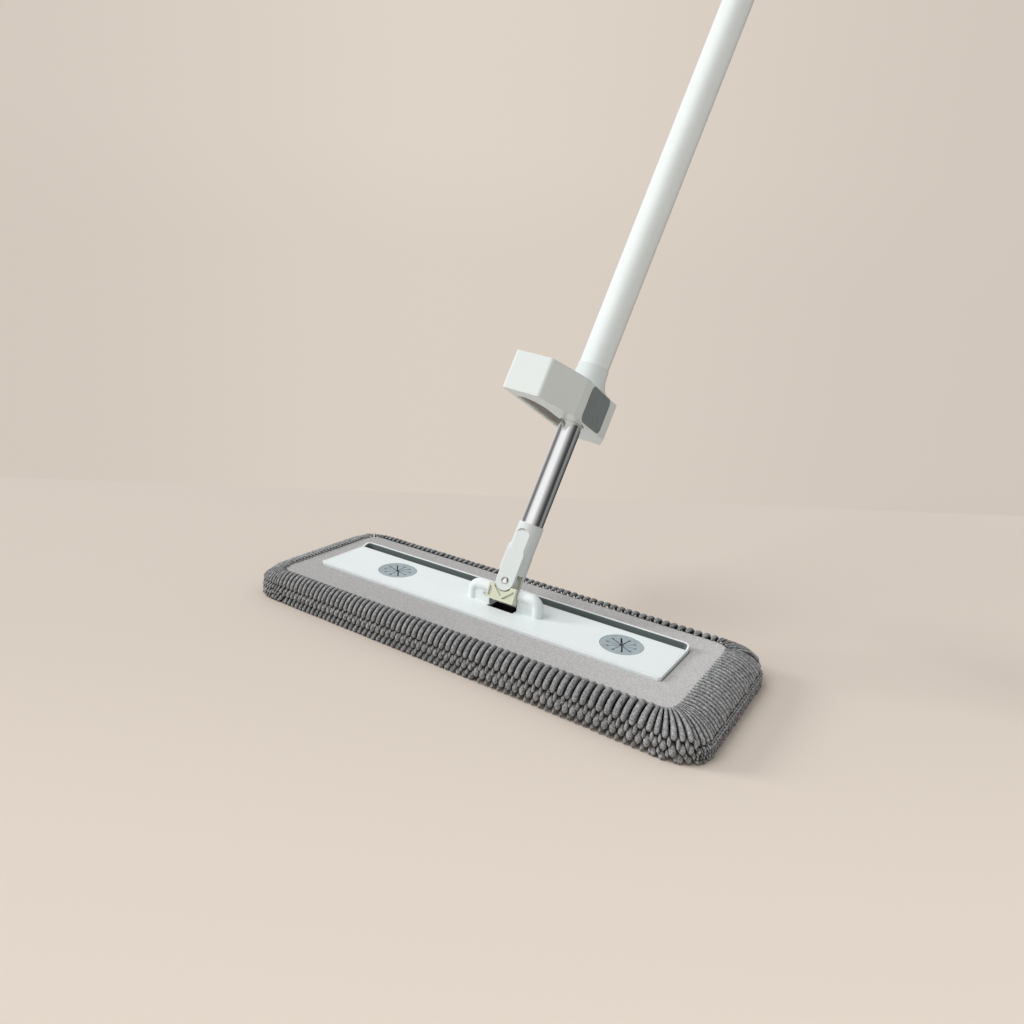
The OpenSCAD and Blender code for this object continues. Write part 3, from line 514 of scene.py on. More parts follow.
def woven(name, dark, light):
    """Dense pocket cloth: fine crossed threads under a felted nap, paler towards the right."""
    material, tree, principled = shader(name, Roughness=0.92, Sheen_Weight=0.3,
                                        Sheen_Roughness=0.5, Specular_IOR_Level=0.2)
    place = object_coordinates(tree)
    waves = []
    for direction in ("X", "Y"):
        wave = tree.nodes.new("ShaderNodeTexWave")
        wave.bands_direction = direction
        wave.inputs["Scale"].default_value = THREAD_SCALE
        wave.inputs["Distortion"].default_value = 1.2
        wave.inputs["Detail Scale"].default_value = 2.0
        tree.links.new(place, wave.inputs["Vector"])
        waves.append(wave.outputs["Fac"])
    weave = combine(tree, "MULTIPLY", *waves)
    nap = noise_texture(tree, place, scale=720, detail=3, roughness=0.75)
    along = rescale(tree, separate(tree, place)["X"], to=(-0.05, 0.09), since=(-0.02, 0.19))
    tone = combine(tree, "ADD", weigh(tree, nap, 0.75, weave, 0.25), along)
    height = combine(tree, "ADD", combine(tree, "MULTIPLY", weave, 0.6), nap)
    connect(tree, principled, Base_Color=ramp(tree, tone, ((0.34, dark), (0.61, light))),
            Normal=bump(tree, height, 0.5, 0.5))
    return material


def studio(tree, x, y):
    """The studio by the way that it lies: a window to the left, a dark screen to the right."""
    azimuth = math.radians(CAMERA_AZIMUTH)
    facing = math.atan2(-math.cos(azimuth), math.sin(azimuth))
    turned = combine(tree, "SUBTRACT", combine(tree, "ARCTAN2", y, x), facing)
    wrapped = combine(tree, "WRAP", turned, math.pi, -math.pi)
    share = rescale(tree, wrapped, to=(0.0, 1.0), since=(-math.pi, math.pi))
    return grey_ramp(tree, share, STUDIO_LEVELS)


def gloss_sees(tree, plain, glossy):
    """Plain, and glossy instead for the rays that gloss sends out."""
    rays = tree.nodes.new("ShaderNodeLightPath")
    return blend(tree, rays.outputs["Is Glossy Ray"], plain, glossy)


def wall_tone(tree, x, y, tones, level=1.0):
    """The wall's colour by the way that it lies from the camera, darker to both sides."""
    ahead = 90 + CAMERA_AZIMUTH
    share = rescale(tree, combine(tree, "ARCTAN2", y, x), to=(0.0, 1.0),
                    since=(math.radians(ahead + WALL_SIDE), math.radians(ahead - WALL_SIDE)))
    stops = [(stop, scaled(tone, level)) for stop, tone in zip(WALL_STOPS, tones)]
    return ramp(tree, share, stops, smooth=True)


def floor_material():
    """Plain warm floor, paler in front; past the seam it goes on in the wall's colour. Glossy rays
    see it painted with the studio's bright and dark bands, a painted reflection.
    """
    material, tree, principled = shader("floor", Roughness=1.0, Specular_IOR_Level=0.0)
    place = tree.nodes.new("ShaderNodeTexCoord").outputs["Object"]
    split = separate(tree, place)

    def across(turn):
        turn = math.radians(turn)
        return weigh(tree, split["X"], -math.sin(turn), split["Y"], math.cos(turn))

    def offsets(centre):
        return [combine(tree, "SUBTRACT", split[axis], at) for axis, at in zip("XY", centre)]

    depth = rescale(tree, across(CAMERA_AZIMUTH), to=(0.0, 1.0), since=FLOOR_DEPTHS)
    past_seam = rescale(tree, across(SEAM_TURN), to=(0.0, 1.0),
                        since=tuple(SEAM_DISTANCE + blur for blur in SEAM_BLEND))
    tone = blend(tree, past_seam, ramp(tree, depth, FLOOR_TONES),
                 wall_tone(tree, *offsets(CAMERA_PLACE), WALL_FOOT))
    fine = noise_texture(tree, place, scale=90, detail=3)
    # Painted reflection: for glossy rays the floor's colour is the studio's bright and dark bands.
    connect(tree, principled, Normal=bump(tree, fine, 0.2, 0.02),
            Base_Color=gloss_sees(tree, tone, studio(tree, *offsets(STUDIO_CENTRE))))
    return material


# Mesh helpers
def mesh_piece(name, verts, faces, material, smooth=True):
    """A mesh from points in millimetres."""
    mesh = bpy.data.meshes.new(name)
    mesh.from_pydata([tuple(MM * c for c in v) for v in verts], [], [tuple(f) for f in faces])
    mesh.materials.append(material)
    for polygon in mesh.polygons:
        polygon.use_smooth = smooth
    mesh.update()
    piece = bpy.data.objects.new(name, mesh)
    bpy.context.scene.collection.objects.link(piece)
    return piece


def smooth_line(points, count):
    """Evenly spaced points on a smooth curve through the given ones, and its length."""
    points = np.array(points, float)
    padded = np.vstack((2 * points[0] - points[1], points, 2 * points[-1] - points[-2]))
    fine = []
    for i in range(1, len(padded) - 2):
        a, b, c, d = padded[i - 1], padded[i], padded[i + 1], padded[i + 2]
        for t in np.linspace(0, 1, SPAN_STEPS, endpoint=False):
            fine.append(0.5 * (2 * b + (c - a) * t + (2 * a - 5 * b + 4 * c - d) * t**2
                               + (3 * b - a - 3 * c + d) * t**3))
    fine.append(padded[-2])
    fine = np.array(fine)
    steps = np.linalg.norm(np.diff(fine, axis=0), axis=1)
    reach = np.concatenate(([0], np.cumsum(steps)))
    wanted = np.linspace(0, reach[-1], count)
    columns = [np.interp(wanted, reach, fine[:, k]) for k in range(fine.shape[1])]
    return np.column_stack(columns), reach[-1]


def noodle(centre, side, half_width, half_height, sides, lumps):
    """Points and faces of one closed tube. centre is its line; side is the way across it."""
    tangent = np.gradient(centre, axis=0)
    tangent /= np.linalg.norm(tangent, axis=1)[:, None]
    side = np.broadcast_to(side, centre.shape)
    up = np.cross(tangent, side)
    up /= np.linalg.norm(up, axis=1)[:, None]
    angles = np.linspace(0, 2 * math.pi, sides, endpoint=False)
    verts = [tuple(centre[0])]
    for k in range(1, len(centre) - 1):
        for angle in angles:
            out = (math.cos(angle) * half_width[k] * side[k]
                   + math.sin(angle) * half_height[k] * up[k])
            point = Vector(centre[k] + out)
            rough = sum(share * noise.noise(point * scale) for scale, share in LUMPS)
            verts.append(tuple(centre[k] + out * (1 + lumps * rough)))
    verts.append(tuple(centre[-1]))
    last = len(verts) - 1
    faces = []
    for i in range(sides):
        j = (i + 1) % sides
        faces.append((0, 1 + j, 1 + i))
        for k in range(len(centre) - 3):
            a = 1 + k * sides
            faces.append((a + i, a + j, a + sides + j, a + sides + i))
        a = 1 + (len(centre) - 3) * sides
        faces.append((a + i, a + j, last))
    return verts, faces


class Heap:
    """Collects the points and faces of many small forms into one mesh, kept above the floor."""

    def __init__(self):
        self.verts = []
        self.faces = []

    def add(self, verts, faces):
        base = len(self.verts)
        self.verts.extend((x, y, max(z, LEAST_HEIGHT)) for x, y, z in verts)
        self.faces.extend(tuple(base + i for i in face) for face in faces)


def between(first, last, steps):
    """The points between two points, without the two."""
    return [tuple(a + (b - a) * i / steps for a, b in zip(first, last)) for i in range(1, steps)]


def outline(box, front_corner, back_corner):
    """Points round a rounded rectangle, the same count for every size, anticlockwise."""
    left, right, front, back = box
    corners = ((right, back, -1, -1, back_corner, 0), (left, back, 1, -1, back_corner, 90),
               (left, front, 1, 1, front_corner, 180), (right, front, -1, 1, front_corner, 270))
    points = []
    for k, (x, y, inward_x, inward_y, radius, start) in enumerate(corners):
        arc = []
        for i in range(ARC_STEPS + 1):
            angle = math.radians(start + 90 * i / ARC_STEPS)
            arc.append((x + radius * (inward_x + math.cos(angle)),
                        y + radius * (inward_y + math.sin(angle))))
        if points:
            points += between(points[-1], arc[0], SHORT_STEPS if k % 2 == 0 else LONG_STEPS)
        points += arc
    return points + between(points[-1], points[0], SHORT_STEPS)


def grown(length, width, corner, out):
    """The outline of a rounded plate in the middle of the head, grown by out."""
    half_x, half_y = length / 2 + out, width / 2 + out
    return outline((-half_x, half_x, -half_y, half_y), corner + out, corner + out)


def core_outline(out):
    return grown(CORE_LENGTH, CORE_WIDTH, CORE_CORNER, out)


def at_height(points, z):
    return [(x, y, z) for x, y in points]


def loft(loops, closed=False):
    """Faces between loops of equal count, each a list of (x, y, z). The last loop joins the first
    when closed, and both are capped otherwise."""
    count = len(loops[0])
    verts = [p for loop in loops for p in loop]
    faces = []
    for k in range(len(loops) if closed else len(loops) - 1):
        a, b = k * count, ((k + 1) % len(loops)) * count
        for i in range(count):
            j = (i + 1) % count
            faces.append((a + i, a + j, b + j, b + i))
    if not closed:
        base = (len(loops) - 1) * count
        faces.append(tuple(reversed(range(count))))
        faces.append(tuple(range(base, base + count)))
    return verts, faces


# Chenille
def skirt_depth(x, y):
    """How far a point lies outside the skirt's outer outline; less than 0 is inside."""
    share = min(1, max(0, x / CORE_LENGTH + 0.5))
    growth = FRONT_GROWTH[0] * share + FRONT_GROWTH[1] * share**2
    front_reach = FRONT_REACH[0] + (FRONT_REACH[1] - FRONT_REACH[0]) * growth
    back_reach = BACK_REACH[0] + (BACK_REACH[1] - BACK_REACH[0]) * share
    along = max(x - CORE_LENGTH / 2 - RIGHT_REACH, -x - CORE_LENGTH / 2 - LEFT_REACH)
    over = max(-y - CORE_WIDTH / 2 - front_reach, y - CORE_WIDTH / 2 - back_reach)
    if along > -OUTER_CORNER and over > -OUTER_CORNER:
        return math.hypot(along + OUTER_CORNER, over + OUTER_CORNER) - OUTER_CORNER
    return max(along, over)


class Spot:
    """A place on the core's edge that a finger grows from, and the way that it points."""

    def __init__(self, x, y, out_x, out_y, part):
        self.root = np.array((x, y))
        length = math.hypot(out_x, out_y)
        self.out = np.array((out_x, out_y)) / length
        self.part = part
        low, high = 0.0, MOST_REACH
        for _ in range(HALVINGS):
            middle = 0.5 * (low + high)
            inside = skirt_depth(*(self.root + self.out * middle)) < 0
            low, high = (middle, high) if inside else (low, middle)
        self.reach = low

    @property
    def end(self):
        return "right" if self.out[0] > 0 else "left"

    def at(self, out):
        return self.root + self.out * out

    def pitch(self, out):
        """The room between the neighbours, at a distance out from the core."""
        before, after = (0.5 * (self.at(out) + other.at(out)) for other in self.neighbours)
        return float(np.linalg.norm(after - before))


def halfway(a, b):
    """The spot between two spots, which are its neighbours."""
    spot = Spot(*(0.5 * (a.root + b.root)), *(a.out + b.out), a.part)
    spot.neighbours = (a, b)
    return spot


def spread(start, end, first_pitch, last_pitch):
    """Places from start to end, at a pitch that changes evenly."""
    count = round(abs(end - start) / (0.5 * (first_pitch + last_pitch)))
    change = last_pitch - first_pitch
    pitches = [first_pitch + change * (i + 0.5) / count for i in range(count)]
    stretch = (end - start) / sum(pitches)
    places, place = [], start
    for pitch in pitches:
        places.append(place + 0.5 * pitch * stretch)
        place += pitch * stretch
    return places


def skirt_spots():
    """Every finger's spot, anticlockwise from the left end of the front, with its neighbours."""
    half_x, half_y = CORE_LENGTH / 2 - CORE_CORNER, CORE_WIDTH / 2 - CORE_CORNER
    edge_x, edge_y = half_x + CORE_CORNER, half_y + CORE_CORNER
    spots = []

    def corner(name, x, y, start):
        count, change = CORNER_FINGERS[name]
        step = 90 / count
        for angle in spread(start, start + 90, step * (1 + change), step * (1 - change)):
            angle = math.radians(angle)
            spots.append(Spot(x + CORE_CORNER * math.cos(angle), y + CORE_CORNER * math.sin(angle),
                              math.cos(angle), math.sin(angle), name))

    spots += [Spot(x, -edge_y, 0, -1, "front") for x in spread(-half_x, half_x, *FRONT_PITCH)]
    corner("front_right", half_x, -half_y, 270)
    spots += [Spot(edge_x, y, 1, 0, "right")
              for y in spread(-half_y, half_y, RIGHT_PITCH, RIGHT_PITCH)]
    corner("back_right", half_x, half_y, 0)
    spots += [Spot(x, edge_y, 0, 1, "back")
              for x in spread(half_x, -half_x, *reversed(BACK_PITCH))]
    corner("back_left", -half_x, half_y, 90)
    spots += [Spot(-edge_x, y, -1, 0, "left")
              for y in spread(half_y, -half_y, LEFT_PITCH, LEFT_PITCH)]
    corner("front_left", -half_x, -half_y, 180)
    for k, spot in enumerate(spots):
        spot.neighbours = (spots[k - 1], spots[(k + 1) % len(spots)])
    return spots


def finger(heap, chance, spot, line, thick, point, rings, sides, fill, lumps, knots=0.0, nose=1.45):
    """One finger of a spot along a line of (out, height) places. point is its root's pointed
    length, knots swell it every few millimetres, and nose is how far its end tapers, in half
    widths."""
    longer = 1 + chance.uniform(-CHANCE_LENGTH, CHANCE_LENGTH)
    lean = chance.uniform(-CHANCE_LEAN, CHANCE_LEAN)
    rise = chance.uniform(-CHANCE_RISE, CHANCE_RISE)
    side = np.array((-spot.out[1], spot.out[0], 0.0))
    points = []
    for k, (out, z) in enumerate(line):
        share = k / (len(line) - 1)
        place = spot.at(out * (longer if out > 0 else 1)) + side[:2] * lean * share
        points.append((*place, z + rise * share))
    centre, length = smooth_line(points, rings)
    along = np.linspace(0, length, rings)
    room = [spot.pitch(max(0.0, out)) for out in (centre[:, :2] - spot.root) @ spot.out]
    half = np.array([fill * pitch for pitch in room]) * chance.uniform(*CHANCE_WIDTH)
    phase = chance.uniform(0, 2 * math.pi)
    half *= 1 + knots * np.sin(2 * math.pi * along / KNOT_STEP + phase)
    begin = np.clip(along / point, 0, 1) ** 0.85
    bullet = np.clip((length - along) / (nose * half[-1]), 0, 1)
    cap = begin * np.sqrt(1 - (1 - bullet) ** 2)
    high = np.minimum(thick, 1.1 * half)
    heap.add(*noodle(centre, side, half * cap, high * cap, sides, lumps))


def tip(heap, chance, spot, inset, z, droop, drop, thick, fill, sides):
    """A short finger under the long ones: straight out from the core, then down to its end."""
    out = spot.reach - inset
    droop = math.radians(droop)
    bend = (out - drop * math.cos(droop), z + drop * math.sin(droop))
    line = ((TIP_ROOT, bend[1] + TIP_RISE[0]),
            (0.5 * (TIP_ROOT + bend[0]), bend[1] + TIP_RISE[1]), bend,
            (out - 0.5 * drop * math.cos(droop), z + 0.5 * drop * math.sin(droop)), (out, z))
    finger(heap, chance, spot, line, thick, point=2.0, rings=14, sides=sides, fill=fill,
           lumps=0.14, nose=1.8)


def front_stack(heap, chance, spot, middle, crest=0.0, thick=FRONT_THICK, fill=FRONT_FILL):
    """A long finger that bends over the edge, with staggered rows of drop-shaped tips under it."""
    line = [LONG_ROOT] + [(share * spot.reach, z + rise * crest) for share, z, rise in LONG_LINE]
    finger(heap, chance, spot, line, thick, point=5.0, rings=24, sides=12, fill=fill, lumps=0.3)
    pitch = spot.pitch(ROW_ROOM_AT * spot.reach)
    rows = max(LEAST_ROWS, round(LONG_END / (ROW_ROOM_SHARE * pitch)))
    step = LONG_END / rows
    for row in range(rows):
        last = row == rows - 1
        tip(heap, chance, middle if row % 2 == 0 else spot,
            inset=LAST_ROW_INSET if last else ROW_INSET,
            z=max(LOWEST_ROW, LONG_END - step * (row + 1)),
            droop=ROW_DROOP + ROW_DROOP_CHANGE * (step - USUAL_STEP), drop=step + ROW_OVERLAP,
            thick=LAST_ROW_THICK if last else ROW_THICK, fill=TIP_FILL, sides=10)


def end_stack(heap, chance, spot, middle):
    """A long flat rib with rows of fine tips under its end."""
    line = [RIB_ROOT] + [(share * spot.reach, z) for share, z in RIB_LINE]
    finger(heap, chance, spot, line, RIB_THICK, point=3.6, rings=30, sides=8, fill=RIB_FILL,
           lumps=0.3, knots=RIB_KNOTS[spot.end])
    for z in RIB_TIP_HEIGHTS:
        for place in (spot, middle):
            tip(heap, chance, place, inset=0.8, z=z, droop=42, drop=3.0, thick=1.4,
                fill=RIB_TIP_FILL, sides=7)


def seam_cord(heap, spots, inward, z, radius):
    """The twisted edge cord round one end, under the ribs, sunk at both of its ends."""
    last = len(spots) - 1
    sunk = [CORD_SINK * max(0, 1 - min(k, last - k) / CORD_SINK_SPOTS) for k in range(len(spots))]
    points = [(*spot.at(spot.reach - inward - deep), z) for spot, deep in zip(spots, sunk)]
    centre, length = smooth_line(points, 4 * len(points))
    side = np.cross(np.gradient(centre, axis=0), (0, 0, 1.0))
    side /= np.linalg.norm(side, axis=1)[:, None]
    along = np.linspace(0, length, len(centre))
    twist = 1 + CORD_TWIST[0] * np.sin(along * CORD_TWIST[1])
    to_end = np.minimum(along, length - along) / CORD_TAPER
    size = radius * twist * np.clip(to_end, CORD_POINT, 1)
    heap.add(*noodle(centre, side, size, size, sides=8, lumps=0.5))


def chenille_skirt(material):
    """The four sides of the skirt, each one piece with the corners that its CAD node has."""
    spots = skirt_spots()
    heaps = {side: Heap() for side in ("front", "back", "left", "right")}
    chance = random.Random(SKIRT_SEED)
    ends = {"left": [], "right": []}
    for k, spot in enumerate(spots):
        middle = halfway(spot, spots[(k + 1) % len(spots)])
        side = spot.part.split("_")[0]
        sideways = abs(spot.out[0])
        if side == "front" and sideways < FRONT_SIDEWAYS:
            front_stack(heaps[side], chance, spot, middle)
        elif side == "back" and sideways < BACK_SIDEWAYS:
            crest = chance.uniform(*BACK_CREST)
            front_stack(heaps[side], chance, spot, middle, crest, BACK_THICK, BACK_FILL)
        else:
            end_stack(heaps[side], chance, spot, middle)
        if sideways > CORD_SIDEWAYS:
            ends[spot.end].append(spot)
    for name, path in ends.items():
        path.sort(key=lambda s: math.atan2(s.out[1], abs(s.out[0])) * 1000 + s.root[1])
        for cord in CORDS:
            seam_cord(heaps[name], path, *cord)
    return {side: mesh_piece(f"{side}_fingers", heap.verts, heap.faces, material)
            for side, heap in heaps.items()}


def chenille_sole(name, material):
    """The underside: staggered rows of short loops hanging from a backing sheet."""
    heap, chance = Heap(), random.Random(SOLE_SEED)
    inset_x, inset_y = SOLE_INSET
    rows = int(CORE_WIDTH / SOLE_ROW_PITCH)
    columns = int(CORE_LENGTH / SOLE_PITCH)
    for row in range(rows + 1):
        y = -CORE_WIDTH / 2 + inset_y + row * (CORE_WIDTH - 2 * inset_y) / rows
        for column in range(columns + 1):
            step = column + 0.5 * (row % 2)
            x = -CORE_LENGTH / 2 + inset_x + step * (CORE_LENGTH - 2 * inset_x) / (columns + 0.5)
            over_x = max(0, abs(x) - CORE_LENGTH / 2 + CORE_CORNER)
            over_y = max(0, abs(y) - CORE_WIDTH / 2 + CORE_CORNER)
            if math.hypot(over_x, over_y) > CORE_CORNER - SOLE_CORNER_INSET:
                continue
            lean = [chance.uniform(-SOLE_LEAN, SOLE_LEAN) for _ in "xy"]
            line = [(x + share * lean[0], y + share * lean[1], z)
                    for share, z in zip((0, 0.4, 1), SOLE_HEIGHTS)]
            centre, length = smooth_line(line, SOLE_RINGS)
            along = np.linspace(0, length, SOLE_RINGS)
            to_end = np.minimum(along, along[::-1]) / SOLE_RADIUS
            size = SOLE_RADIUS * np.sqrt(1 - (1 - np.clip(to_end, 0, 1)) ** 2)
            heap.add(*noodle(centre, np.array((1.0, 0, 0)), size, size, sides=8, lumps=0.6))
    return mesh_piece(name, heap.verts, heap.faces, material)


def sole_backing(name, material):
    """The sheet that the sole's loops are sewn to."""
    loops = [at_height(core_outline(out), z) for out, z in BACKING_PROFILE]
    return mesh_piece(name, *loft(loops), material)


def pad_body(name, material):
    """The felt core with its edge band and the recess that the board lies in."""
    loops = [at_height(core_outline(out), z) for out, z in FELT_PROFILE]
    loops += [at_height(grown(BOARD_LENGTH, BOARD_WIDTH, BOARD_CORNER, out), z)
              for out, z in RECESS_PROFILE]
    return mesh_piece(name, *loft(loops), material)


def pocket_fabric(name, material):
    """The sewn cloth over the board: a window for the deck, a turned hem, a soft outer edge."""
    outer = core_outline(CLOTH_OUT)
    inner = outline(WINDOW, WINDOW_FRONT_CORNER, WINDOW_BACK_CORNER)
    first, span = CLOTH_TOP_SHARES
    top = tuple((first + span * k / CLOTH_TOP_STEPS, CLOTH_TOP)
                for k in range(1, CLOTH_TOP_STEPS + 1))
    loops = []
    for share, z in CLOTH_EDGE + top + CLOTH_HEM:
        loop = []
        for (ox, oy), (ix, iy) in zip(outer, inner):
            x, y = ox + (ix - ox) * share, oy + (iy - oy) * share
            lift = 0.0
            if CLOTH_UNEVEN_ABOVE < z:
                soft = math.sin(math.pi * min(1, max(0, share)))
                lift = soft * sum(high * noise.noise(Vector((x * scale_x, y * scale_y, offset)))
                                  for high, scale_x, scale_y, offset in CLOTH_UNEVEN)
            loop.append((x, y, z + lift))
        loops.append(loop)
    verts, faces = loft(loops, closed=True)
    return mesh_piece(name, verts, [tuple(reversed(f)) for f in faces], material)


# Star-cut grippers
def slit_half(r, wide):
    """Half the width of a slit, with its end hole, at a distance r from the disc's middle."""
    half = (SLIT_WIDE - SLIT_TAPER * r) if wide else SLIT_THIN
    past = abs(r - SLIT_END)
    if past < SLIT_HOLE:
        return max(half if r < SLIT_END else 0, math.sqrt(SLIT_HOLE**2 - past**2))
    return SLIT_CLOSED if r > SLIT_END else half


def star_disc(name, centre, turn, wide_slits, material):
    """A rubber disc cut by slits, each ending in a small round hole; the wide ones gape."""
    x, y = centre
    rings = [*DISC_RINGS]
    rings += [SLIT_END + SLIT_HOLE * math.sin(math.radians(angle)) for angle in HOLE_ANGLES]
    rings += [DISC_R - inset for inset in DISC_RIM_INSETS]
    verts, faces = [], []
    columns = SLITS * SLIT_COLUMNS
    for r in rings:
        edge = max(0.0, r - DISC_R + DISC_EDGE)
        z = DISC_TOP - DISC_DISH * (1 - (r / DISC_R) ** 2) - DISC_EDGE_DROP * edge**2
        for slit in range(SLITS):
            half = slit_half(r, slit in wide_slits)
            middle = 2 * math.pi * slit / SLITS + math.radians(turn)
            first, last = middle + half / r, middle + 2 * math.pi / SLITS - half / r
            for i in range(SLIT_COLUMNS):
                angle = first + (last - first) * i / (SLIT_COLUMNS - 1)
                verts.append((x + r * math.cos(angle), y + r * math.sin(angle), z))
    for k in range(len(rings) - 1):
        for column in range(columns):
            in_slit = column % SLIT_COLUMNS == SLIT_COLUMNS - 1
            if in_slit and rings[k + 1] < SLIT_END + SLIT_HOLE + 0.01:
                continue
            a, b = k * columns + column, k * columns + (column + 1) % columns
            faces.append((a, b, b + columns, a + columns))
    piece = mesh_piece(name, verts, [tuple(reversed(f)) for f in faces], material)
    thicken = piece.modifiers.new("thickness", "SOLIDIFY")
    thicken.thickness = DISC_SKIN * MM
    thicken.offset = -1
    return piece


def dress_discs(rubber_material):
    """The star-cut discs, each over a near-black plate that shows through its slits as painted
    shade.
    """
    # The plate under each disc is near-black, painted shade for the depth of its slits.
    shade_well = moulded("disc_shade_well", DISC_SHADE_WELL, gloss=0.8, grain=0.01, edge=0.45)
    radius = DISC_R - DISC_FLOOR_INSET
    for side, x, turn, wide in zip(("left", "right"), DISC_X, DISC_TURN, WIDE_SLITS):
        disc = star_disc(f"{side}_star", (x, DISC_Y), turn, wide, rubber_material)
        loop = [(x + radius * math.cos(a), DISC_Y + radius * math.sin(a))
                for a in np.linspace(0, 2 * math.pi, 64, endpoint=False)]
        verts, faces = loft([at_height(loop, DISC_TOP - depth) for depth in DISC_FLOOR_DEPTHS])
        under = mesh_piece(f"{side}_star_painted_shade_floor", verts, faces, shade_well, smooth=False)
        for piece in (disc, under):
            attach(piece, "head")
        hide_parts(f"{side}_gripper")


# Camera, light and floor
def camera_axes():
    azimuth, elevation, roll = (math.radians(v) for v in (CAMERA_AZIMUTH, CAMERA_ELEVATION,
                                                          CAMERA_ROLL))
    back = Vector((math.sin(azimuth) * math.cos(elevation),
                   -math.cos(azimuth) * math.cos(elevation), math.sin(elevation)))
    level_right = (-back).cross(Vector((0, 0, 1))).normalized()
    level_up = level_right.cross(-back)
    right = math.cos(roll) * level_right + math.sin(roll) * level_up
    up = -math.sin(roll) * level_right + math.cos(roll) * level_up
    return right, up, back


def add_camera():
    camera = bpy.data.objects.new("camera", bpy.data.cameras.new("camera"))
    bpy.context.scene.collection.objects.link(camera)
    turned = Matrix(camera_axes()).transposed().to_4x4()
    camera.matrix_world = Matrix.Translation(CAMERA_PLACE) @ turned
    camera.data.sensor_width = SENSOR
    camera.data.lens = FOCAL_PIXELS * SENSOR / FRAME_PIXELS
    camera.data.clip_start, camera.data.clip_end = CAMERA_CLIP
    bpy.context.scene.camera = camera


def add_sun(name, left, front, up, angle, share):
    """A soft light from far away; share is what it adds on the level floor."""
    azimuth = math.radians(CAMERA_AZIMUTH)
    right = Vector((math.cos(azimuth), math.sin(azimuth), 0))
    away = Vector((-math.sin(azimuth), math.cos(azimuth), 0))
    towards = (-left * right - front * away + up * Vector((0, 0, 1))).normalized()
    data = bpy.data.lights.new(name, "SUN")
    data.angle = math.radians(angle)
    data.energy = math.pi * share / towards.z
    sun = bpy.data.objects.new(name, data)
    bpy.context.scene.collection.objects.link(sun)
    sun.rotation_mode = "QUATERNION"
    sun.rotation_quaternion = towards.to_track_quat("Z", "Y")
    sun.visible_glossy = False


def add_world():
    """Even surroundings; gloss sees the studio and the camera the wall."""
    world = bpy.data.worlds.new("studio")
    bpy.context.scene.world = world
    world.use_nodes = True
    tree = world.node_tree
    way = separate(tree, tree.nodes.new("ShaderNodeTexCoord").outputs["Generated"])
    lit = gloss_sees(tree, rgba((AMBIENT,) * 3), studio(tree, way["X"], way["Y"]))
    level = AMBIENT + HIGH_SUN[-1] + LOW_SUN[-1]
    foot, high = (wall_tone(tree, way["X"], way["Y"], tones, level) for tones in (WALL_FOOT, WALL))
    risen = rescale(tree, way["Z"], to=(0.0, 1.0), since=(0.0, WALL_RISE))
    rays = tree.nodes.new("ShaderNodeLightPath")
    seen = blend(tree, rays.outputs["Is Camera Ray"], lit, blend(tree, risen, foot, high))
    connect(tree, tree.nodes["Background"], Color=seen)


def add_stage():
    corners = [(x * FLOOR_HALF, y * FLOOR_HALF, 0) for x, y in ((-1, -1), (1, -1), (1, 1), (-1, 1))]
    mesh = bpy.data.meshes.new("floor")
    mesh.from_pydata(corners, [], [(0, 1, 2, 3)])
    mesh.materials.append(floor_material())
    floor = bpy.data.objects.new("floor", mesh)
    bpy.context.scene.collection.objects.link(floor)
    add_world()
    add_sun("high_sun", *HIGH_SUN)
    add_sun("low_sun", *LOW_SUN)


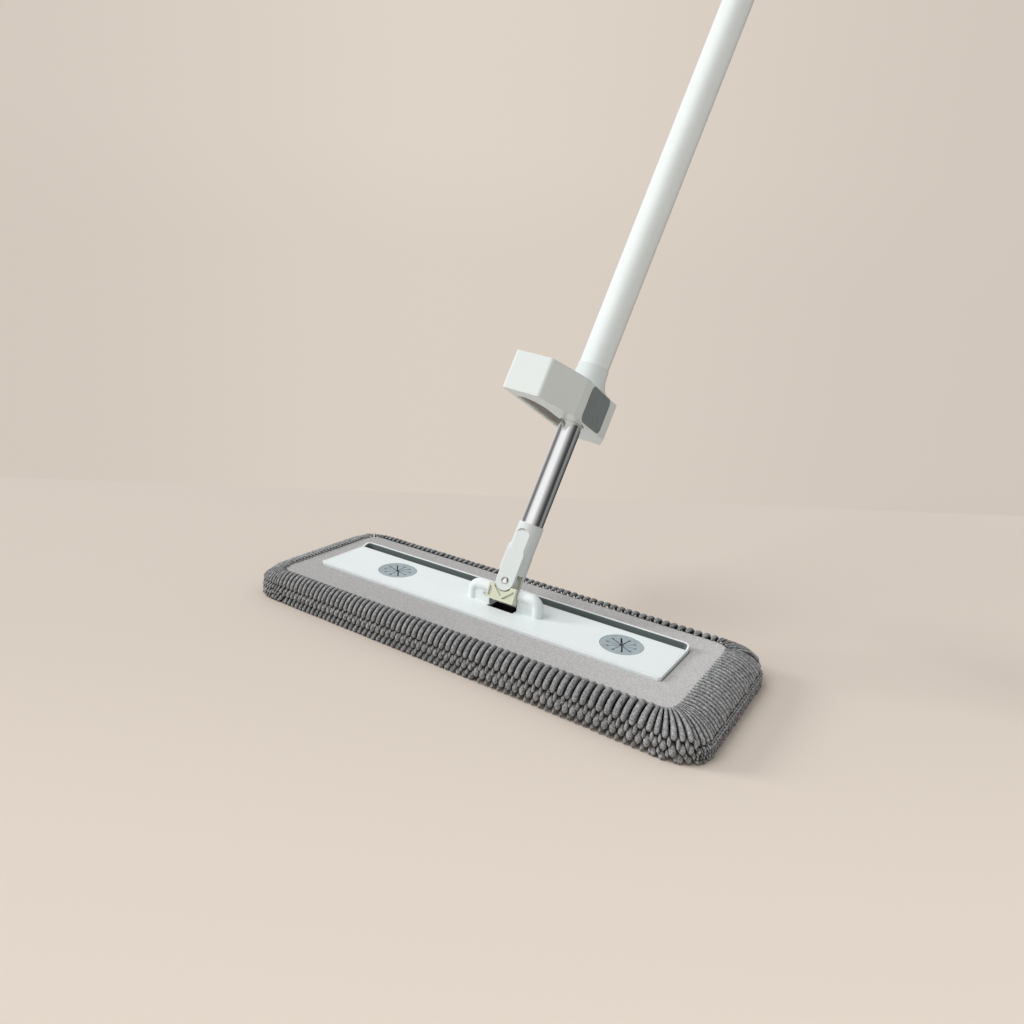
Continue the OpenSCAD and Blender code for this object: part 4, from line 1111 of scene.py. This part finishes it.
# The object
def dress_frame(nodes):
    """Gives every CAD node its material, and the grippers their discs."""
    disc = rubber("disc_rubber", DISC)
    plan = (
        (moulded("white_plastic", WHITE, gloss=0.3, grain=0.015, edge=0.5, edge_highlight=WHITE_EDGE_HIGHLIGHT),
         ("deck_panel", "end_cap")),
        (moulded("deck_plastic", WHITE, gloss=0.3, grain=0.015, edge=1.5, edge_highlight=WHITE_EDGE_HIGHLIGHT),
         ("deck_frame",)),
        (moulded("connector_plastic_shaded", CONNECTOR_SHADED_WHITE, gloss=0.28, grain=0.015, edge=0.5,
                 edge_highlight=WHITE_EDGE_HIGHLIGHT), ("fork_connector",)),
        (moulded("shell_plastic", SHELL, gloss=0.34, grain=0.02, edge=1.2, edge_highlight=SHELL_EDGE_HIGHLIGHT),
         ("wringer_body", "wringer_cover")),
        (moulded("ivory_plastic", IVORY, gloss=0.38, grain=0.03, edge=0.35),
         ("swivel_block", "pivot_bush", "top_guide", "guide_bush")),
        (moulded("white_paint", TUBE, gloss=0.24, grain=0.01, edge=3.0, coat=0.28),
         ("outer_tube",)),
        (moulded("black_board", BOARD, gloss=0.5, grain=0.05, edge=0.45), ("base_board",)),
        (moulded("channel_plastic", CHANNEL, gloss=0.5, grain=0.05, edge=0.3),
         ("channel_liner",)),
        (rubber("patch_rubber", PATCH), ("grip_patch", "hand_grip")),
        (rubber("blade_rubber", BLADE), ("far_blade", "near_blades", "friction_ring")),
        (steel("polished_steel", POLISHED, roughness=(0.05, 0.09), along=2),
         ("steel_tube", "fork_rivet")),
        (steel("brushed_steel", BRUSHED, roughness=(0.16, 0.3), along=0),
         ("deck_screws", "tilt_pin", "pin_set_screw", "wringer_screws")),
        (disc, ("left_gripper", "right_gripper")),
    )
    for material, names in plan:
        for name in names:
            nodes[name].data.materials.clear()
            nodes[name].data.materials.append(material)
    dress_discs(disc)


def dress_pad():
    """The soft pieces, in the place of the CAD's solids."""
    loops = chenille("chenille_loops", CHENILLE_DARK, CHENILLE_LIGHT)
    # The felt core and the sole's backing sheet take a near-black chenille, painted shade for the
    # gaps between the fingers.
    gap_shade_backing = chenille("chenille_gap_shade", GAP_SHADE_BLACK, scaled(GAP_SHADE_BLACK, GAP_SHADE_LIGHTER))
    cloth = woven("pocket_cloth", FABRIC_DARK, FABRIC_LIGHT)
    skirt = chenille_skirt(loops)
    soft = (
        (skirt["front"], "chenille_front", "chenille"),
        (skirt["back"], "chenille_back", "chenille"),
        (skirt["left"], "chenille_left", "chenille"),
        (skirt["right"], "chenille_right", "chenille"),
        (chenille_sole("sole_fingers", loops), "chenille_sole", "chenille"),
        (pad_body("felt_core", gap_shade_backing), "pad_core", "pad_fabric"),
        (pocket_fabric("pocket_cloth_top", cloth), "pad_pocket", "pad_fabric"),
    )
    for piece, node, slot in soft:
        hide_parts(node)
        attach(piece, "head")
    backing_sheet = sole_backing("sole_backing", gap_shade_backing)
    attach(backing_sheet, "head")


def plain(box):
    return [list(corner) for corner in box]


def main():
    for old in list(bpy.data.objects):
        bpy.data.objects.remove(old)
    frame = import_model()
    bpy.context.scene.view_settings.view_transform = "Standard"
    add_camera()
    add_stage()
    dress_frame(frame["nodes"])
    dress_pad()


main()
